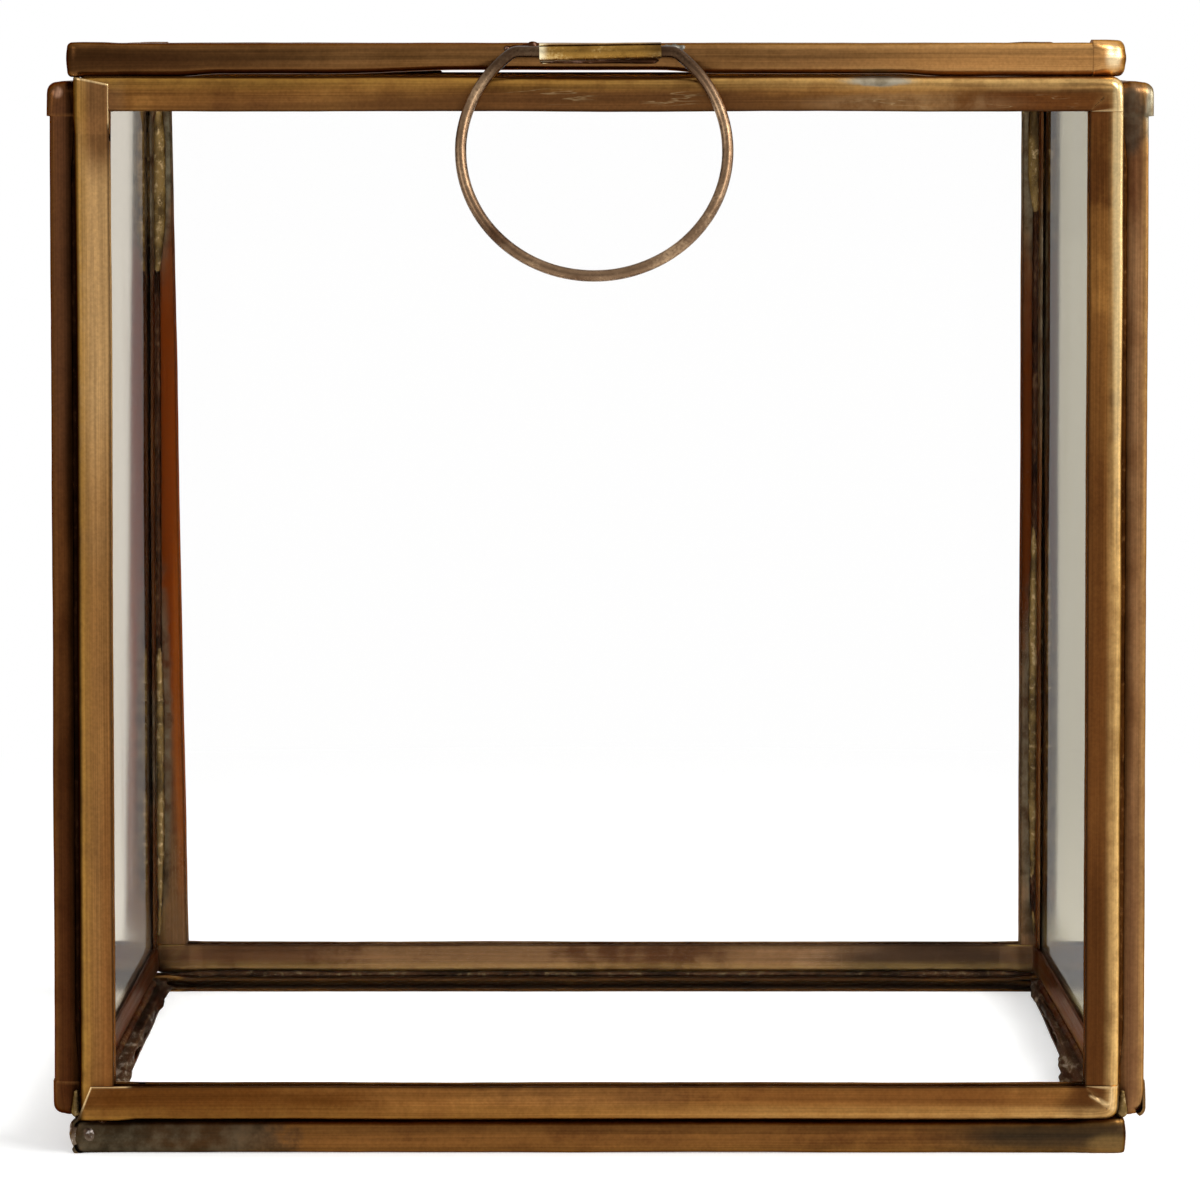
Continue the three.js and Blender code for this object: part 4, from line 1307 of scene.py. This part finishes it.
def arc(x, z, radius, start, end):
    steps = max(2, round(abs(end - start) / ARC_STEP))
    return [Vector((x + radius * math.cos(start + (end - start) * i / steps), 0,
                    z + radius * math.sin(start + (end - start) * i / steps))) for i in range(steps + 1)]


def ring_route():
    bend_x = math.sqrt((RING_RADIUS - BEND_RADIUS) ** 2 - (RING_DROP - BEND_RADIUS) ** 2)
    turn = math.atan2(bend_x, RING_DROP - BEND_RADIUS)
    up = math.pi / 2
    route = [Vector((WIRE_GAP, 0, 0))]
    route += arc(bend_x, -BEND_RADIUS, BEND_RADIUS, up, up - turn)
    route += arc(0, -RING_DROP, RING_RADIUS, up - turn, turn - 3 * up)[1:]
    route += arc(-bend_x, -BEND_RADIUS, BEND_RADIUS, up + turn, up)[1:]
    route.append(Vector((-WIRE_GAP, 0, 0)))
    lean = Matrix.Rotation(-RING_LEAN, 3, "X")
    return [(lean @ point + RING_AXIS) * MM for point in route]


ring_mesh = run_tree(wire_tree, line_mesh(ring_route()), {
    "Radius": WIRE_RADIUS * MM, "Unevenness": 0.05 * MM, "Seed": 4.0, "Material": wire_metal}, "ring")
ring = join_meshes("ring_pull", [ring_mesh], wire_metal, "ring", "brass_wire", "ring_handle")
print("ring:", len(ring.data.polygons), "faces,", "box", [round(v / MM, 2) for v in ring.dimensions])

# %% The hinge pin
low, high = node_box("hinge_pin")
pin_axis = (low + high) / 2
PIN_RADIUS = (high.z - low.z) / 2
pin_ends = [Vector((low.x + (high.x - low.x) * share, pin_axis.y, pin_axis.z)) * MM
            for share in (0, 0.25, 0.5, 0.75, 1)]
pin_mesh = run_tree(wire_tree, line_mesh(pin_ends), {
    "Radius": PIN_RADIUS * MM, "Unevenness": 0.0, "Seed": 1.0, "Material": wire_metal}, "pin")
join_meshes("hinge_wire", [pin_mesh], wire_metal, "box", "brass_wire", "hinge_pin")

# %% [markdown]
# ## Rolled tubes
# The sleeve of the ring and the barrels of the hinge are strips of sheet rolled round the wire, so
# each tube has an open seam along it. A tree carries an open arc along a line, and the Solidify
# modifier gives the sheet its thickness.

# %% The tube tree
TUBE_STEP, TUBE_SIDES = 0.4 * MM, 32
tube_tree, taken = new_tree("rolled_tube", [
    ("Radius", "NodeSocketFloat", 0.8 * MM), ("Seam", "NodeSocketFloat", 0.0), ("Opening", "NodeSocketFloat", 0.35),
    ("Taper", "NodeSocketFloat", 0.0), ("Dents", "NodeSocketFloat", 0.03 * MM), ("Seed", "NodeSocketFloat", 0.0),
    ("Material", "NodeSocketMaterial", None)])
line = curve_from(tube_tree, taken["Geometry"], TUBE_STEP)
sweep = calculate(tube_tree, "SUBTRACT", 2 * math.pi, taken["Opening"])
rolled = put(tube_tree, "GeometryNodeCurveArc", {
    "Resolution": TUBE_SIDES, "Radius": taken["Radius"], "Start Angle": taken["Seam"], "Sweep Angle": sweep}).outputs[0]
narrowed = times(tube_tree, put(tube_tree, "GeometryNodeSplineParameter").outputs["Factor"], taken["Taper"])
tube = put(tube_tree, "GeometryNodeCurveToMesh", {
    "Curve": line, "Profile Curve": rolled, "Scale": calculate(tube_tree, "SUBTRACT", 1.0, narrowed)}).outputs[0]
tube = roughened(tube_tree, tube, 350.0, taken["Seed"], taken["Dents"])
close_tree(tube_tree, tube, taken["Material"])


# %% The sleeve and the barrels
TUBE_GAP = 0.3
SLEEVE_WALL, BARREL_WALL = 0.14, 0.45


def rolled_tube(name, node, wall, seam, seed, material, body, slot, dents=0.03, taper=0.0, droop=(0.0, 0.0), grow=1.0):
    """A tube on a node's axis. The seam is its angle in degrees, and droop moves the two ends."""
    low, high = node_box(node)
    middle = (low + high) / 2
    radius = max(high.y - low.y, high.z - low.z) / 2 * grow
    ends = [Vector((x, middle.y, middle.z + move)) * MM for x, move in zip((low.x, high.x), droop)]
    sheet = run_tree(tube_tree, line_mesh(ends), {
        "Radius": (radius - wall / 2) * MM, "Seam": math.radians(seam), "Opening": TUBE_GAP / radius, "Taper": taper,
        "Dents": dents * MM, "Seed": seed, "Material": material}, name)
    made = add_object(name, sheet)
    thick = made.modifiers.new("sheet", "SOLIDIFY")
    thick.thickness = wall * MM
    thick.offset = 0.0
    solid = evaluated_mesh(made)
    made.modifiers.clear()
    made.data = solid
    finish_mesh(made, material)
    attach(made, body, slot, node)
    return made


sleeve = rolled_tube("pull_sleeve", "ring_sleeve", SLEEVE_WALL, -40, 3.0, sleeve_metal, "lid", "brass_strip",
                     0.05, 0.12, (-0.1, 0.12), 1.14)
for name, seam, seed, body in (("middle", 180, 5.0, "lid"), ("left", -90, 6.0, "box"), ("right", -90, 7.0, "box")):
    rolled_tube(f"barrel_{name}", f"hinge_barrel_{name}", BARREL_WALL, seam, seed, barrel_metal, body, "dark_brass")
print("sleeve:", [round(v / MM, 2) for v in sleeve.dimensions])

# %% The sleeve's tail
# The end of the rolled sheet runs down against the lid and shows under the sleeve
TAIL_STEPS, TAIL_ROWS = 30, 5
TAIL_FACE, TAIL_BACK, TAIL_TOP = -49.08, -48.86, 110.25
FOOT_LEFT, FOOT_RISE = 109.38, 0.5
low, high = node_box("ring_sleeve")
tail_front, tail_rear = [], []
for step in range(TAIL_STEPS + 1):
    share = step / TAIL_STEPS
    x = low.x + 0.1 + (high.x - low.x - 0.5) * share
    foot = FOOT_LEFT + FOOT_RISE * share + noise.noise(Vector((x / 2, 3, 1))) * 0.05
    heights = [TAIL_TOP + (foot - TAIL_TOP) * row / TAIL_ROWS for row in range(TAIL_ROWS + 1)]
    for grid, y in ((tail_front, TAIL_FACE), (tail_rear, TAIL_BACK)):
        grid.append([Vector((x, y, z)) for z in heights])
join_meshes("sleeve_tail", [solid_from_grids("tail", tail_front, tail_rear)], tail_metal, "lid", "brass_strip")
rim = bead_mesh((low.x + 0.1, TAIL_FACE, 109.36), (high.x - 0.4, TAIL_FACE, 109.86), 0.08, 3, 0.2, 0.02)
join_meshes("sleeve_tail_edge", [rim], sleeve_metal, "lid", "brass_strip")

# %% Solder of the hinge
for name, body in (("middle", "lid"), ("left", "box"), ("right", "box")):
    low, high = node_box(f"hinge_solder_{name}")
    middle, y = (low + high) / 2, (low.y + high.y) / 2 - 0.1
    heights, radius = ((middle.z,), 0.34) if name == "middle" else ((low.z + 0.5, middle.z, high.z - 0.35), 0.5)
    beads = [bead_mesh((low.x + 0.2, y, z), (high.x - 0.2, y, z), radius, 31 + z, 0.35, 0.12) for z in heights]
    join_meshes(f"barrel_solder_{name}", beads, dark_solder, body, "solder", f"hinge_solder_{name}")

# %% Solder of the sleeve
low, high = node_box("sleeve_solder")
middle = (low + high) / 2
WEDGE_BALLS = ((-9.2, -48.6, 110.8, 0.42), (-8.4, -48.65, 110.75, 0.55), (-7.5, -48.7, 110.7, 0.62),
               (-6.6, -48.95, 110.9, 0.72))
TIP_BALLS = ((6.7, -48.55, 110.75, 0.55), (7.5, -48.5, 110.8, 0.55), (8.3, -48.45, 110.85, 0.45))
under_y = middle.y + 0.15
under = bead_mesh((low.x + 0.2, under_y, middle.z), (high.x - 0.2, under_y, middle.z), 0.34, 41, 0.4, 0.08)
join_meshes("pull_solder", [under, lump_mesh(WEDGE_BALLS, 5.0)], sleeve_dirt, "lid", "solder", "sleeve_solder")
join_meshes("pull_tip", [lump_mesh(TIP_BALLS, 6.0)], tip_solder, "lid", "solder")

# %% [markdown]
# ## The floor and the light
# The photograph is a cut-out on plain white, so the studio is white all round. The floor is pale
# and matt near the box, where it shows the shadow, and goes over to plain white further away. Only
# rays that look at the background, directly, in a mirror or through the glass, find it at full
# white. What metal and glass mirror is a studio with its own slope of light: brightest above, at the
# right and behind the box, and dimmer on the camera's side and at the left. The light on the box
# stays soft and plain: a dim sky, a large soft lamp at the upper right and a weak one at the left.

# %% Studio
FLOOR_SIZE = 6.0
FLOOR_NEAR, FLOOR_FAR = 0.10, 0.34
SEEN_WHITE = 1.0
SKY_LIGHT = 0.55
FLOOR_LIFT = 0.42
STUDIO_SLOPE = (0.22, 0.22, 0.22)
STUDIO_LEVEL = 0.75


def seen_rays(tree):
    """1 for rays that look at the background, directly, in gloss or through glass."""
    rays = put(tree, "ShaderNodeLightPath").outputs
    both = calculate(tree, "MAXIMUM", rays["Is Camera Ray"], rays["Is Glossy Ray"])
    return calculate(tree, "MAXIMUM", both, rays["Is Transmission Ray"])


floor_material, tree, shader = new_material("pale_floor")
place, _ = object_place(tree)
distance = put(tree, "ShaderNodeVectorMath", {0: place}, operation="LENGTH").outputs["Value"]
paper = soft_step(tree, grain(tree, place, 900.0, 2), 0.3, 0.7)
shader.inputs["Roughness"].default_value = 0.9
shader.inputs["Specular IOR Level"].default_value = 0.0
tree.links.new(blend(tree, paper, "e9e9e8", "eeeeed"), shader.inputs["Base Color"])
seen = seen_rays(tree)
lift = put(tree, "ShaderNodeEmission", {"Strength": times(tree, seen, FLOOR_LIFT)})
near = put(tree, "ShaderNodeAddShader", {0: shader.outputs["BSDF"], 1: lift.outputs["Emission"]})
white = put(tree, "ShaderNodeEmission", {"Strength": times(tree, seen, SEEN_WHITE)})
far = put(tree, "ShaderNodeMixShader", {
    0: soft_step(tree, distance, FLOOR_NEAR, FLOOR_FAR), 1: near.outputs["Shader"], 2: white.outputs["Emission"]})
tree.links.new(far.outputs["Shader"], tree.nodes["Material Output"].inputs["Surface"])

floor_mesh = bpy.data.meshes.new("studio_floor")
half = FLOOR_SIZE / 2
floor_mesh.from_pydata([(-half, -half, 0), (half, -half, 0), (half, half, 0), (-half, half, 0)], [], [(0, 1, 2, 3)])
floor_mesh.materials.append(floor_material)
floor = add_object("studio_floor", floor_mesh)

world = bpy.data.worlds.new("studio_white")
world.use_nodes = True
bpy.context.scene.world = world
tree = world.node_tree
rays = put(tree, "ShaderNodeLightPath").outputs
direction = put(tree, "ShaderNodeTexCoord").outputs["Generated"]
slope = put(tree, "ShaderNodeVectorMath", {0: direction, 1: STUDIO_SLOPE}, operation="DOT_PRODUCT").outputs["Value"]
mirrored_light = plus(tree, slope, STUDIO_LEVEL)
strength = soft_step(tree, rays["Is Glossy Ray"], 0.0, 1.0, SKY_LIGHT, mirrored_light)
through = calculate(tree, "MAXIMUM", rays["Is Camera Ray"], rays["Is Transmission Ray"])
strength = soft_step(tree, through, 0.0, 1.0, strength, SEEN_WHITE)
tree.links.new(strength, tree.nodes["Background"].inputs["Strength"])
tree.nodes["Background"].inputs["Color"].default_value = WHITE

MIDDLE_OF_BOX = Vector((0, 0, 0.055))


def soft_lamp(name, place, size, power):
    data = bpy.data.lights.new(name, "AREA")
    data.shape = "DISK"
    data.size = size
    data.energy = power
    lamp = add_object(name, data)
    lamp.location = place
    lamp.rotation_euler = (MIDDLE_OF_BOX - Vector(place)).to_track_quat("-Z", "Y").to_euler()


LAMPS = (("key_lamp", (0.55, -0.45, 0.60), 0.45, 4.0), ("edge_lamp", (0.60, 0.05, 0.25), 0.25, 1.2),
         ("fill_lamp", (-0.60, -0.50, 0.35), 0.40, 1.0))
for lamp in LAMPS:
    soft_lamp(*lamp)
print("lamps:", len(LAMPS))
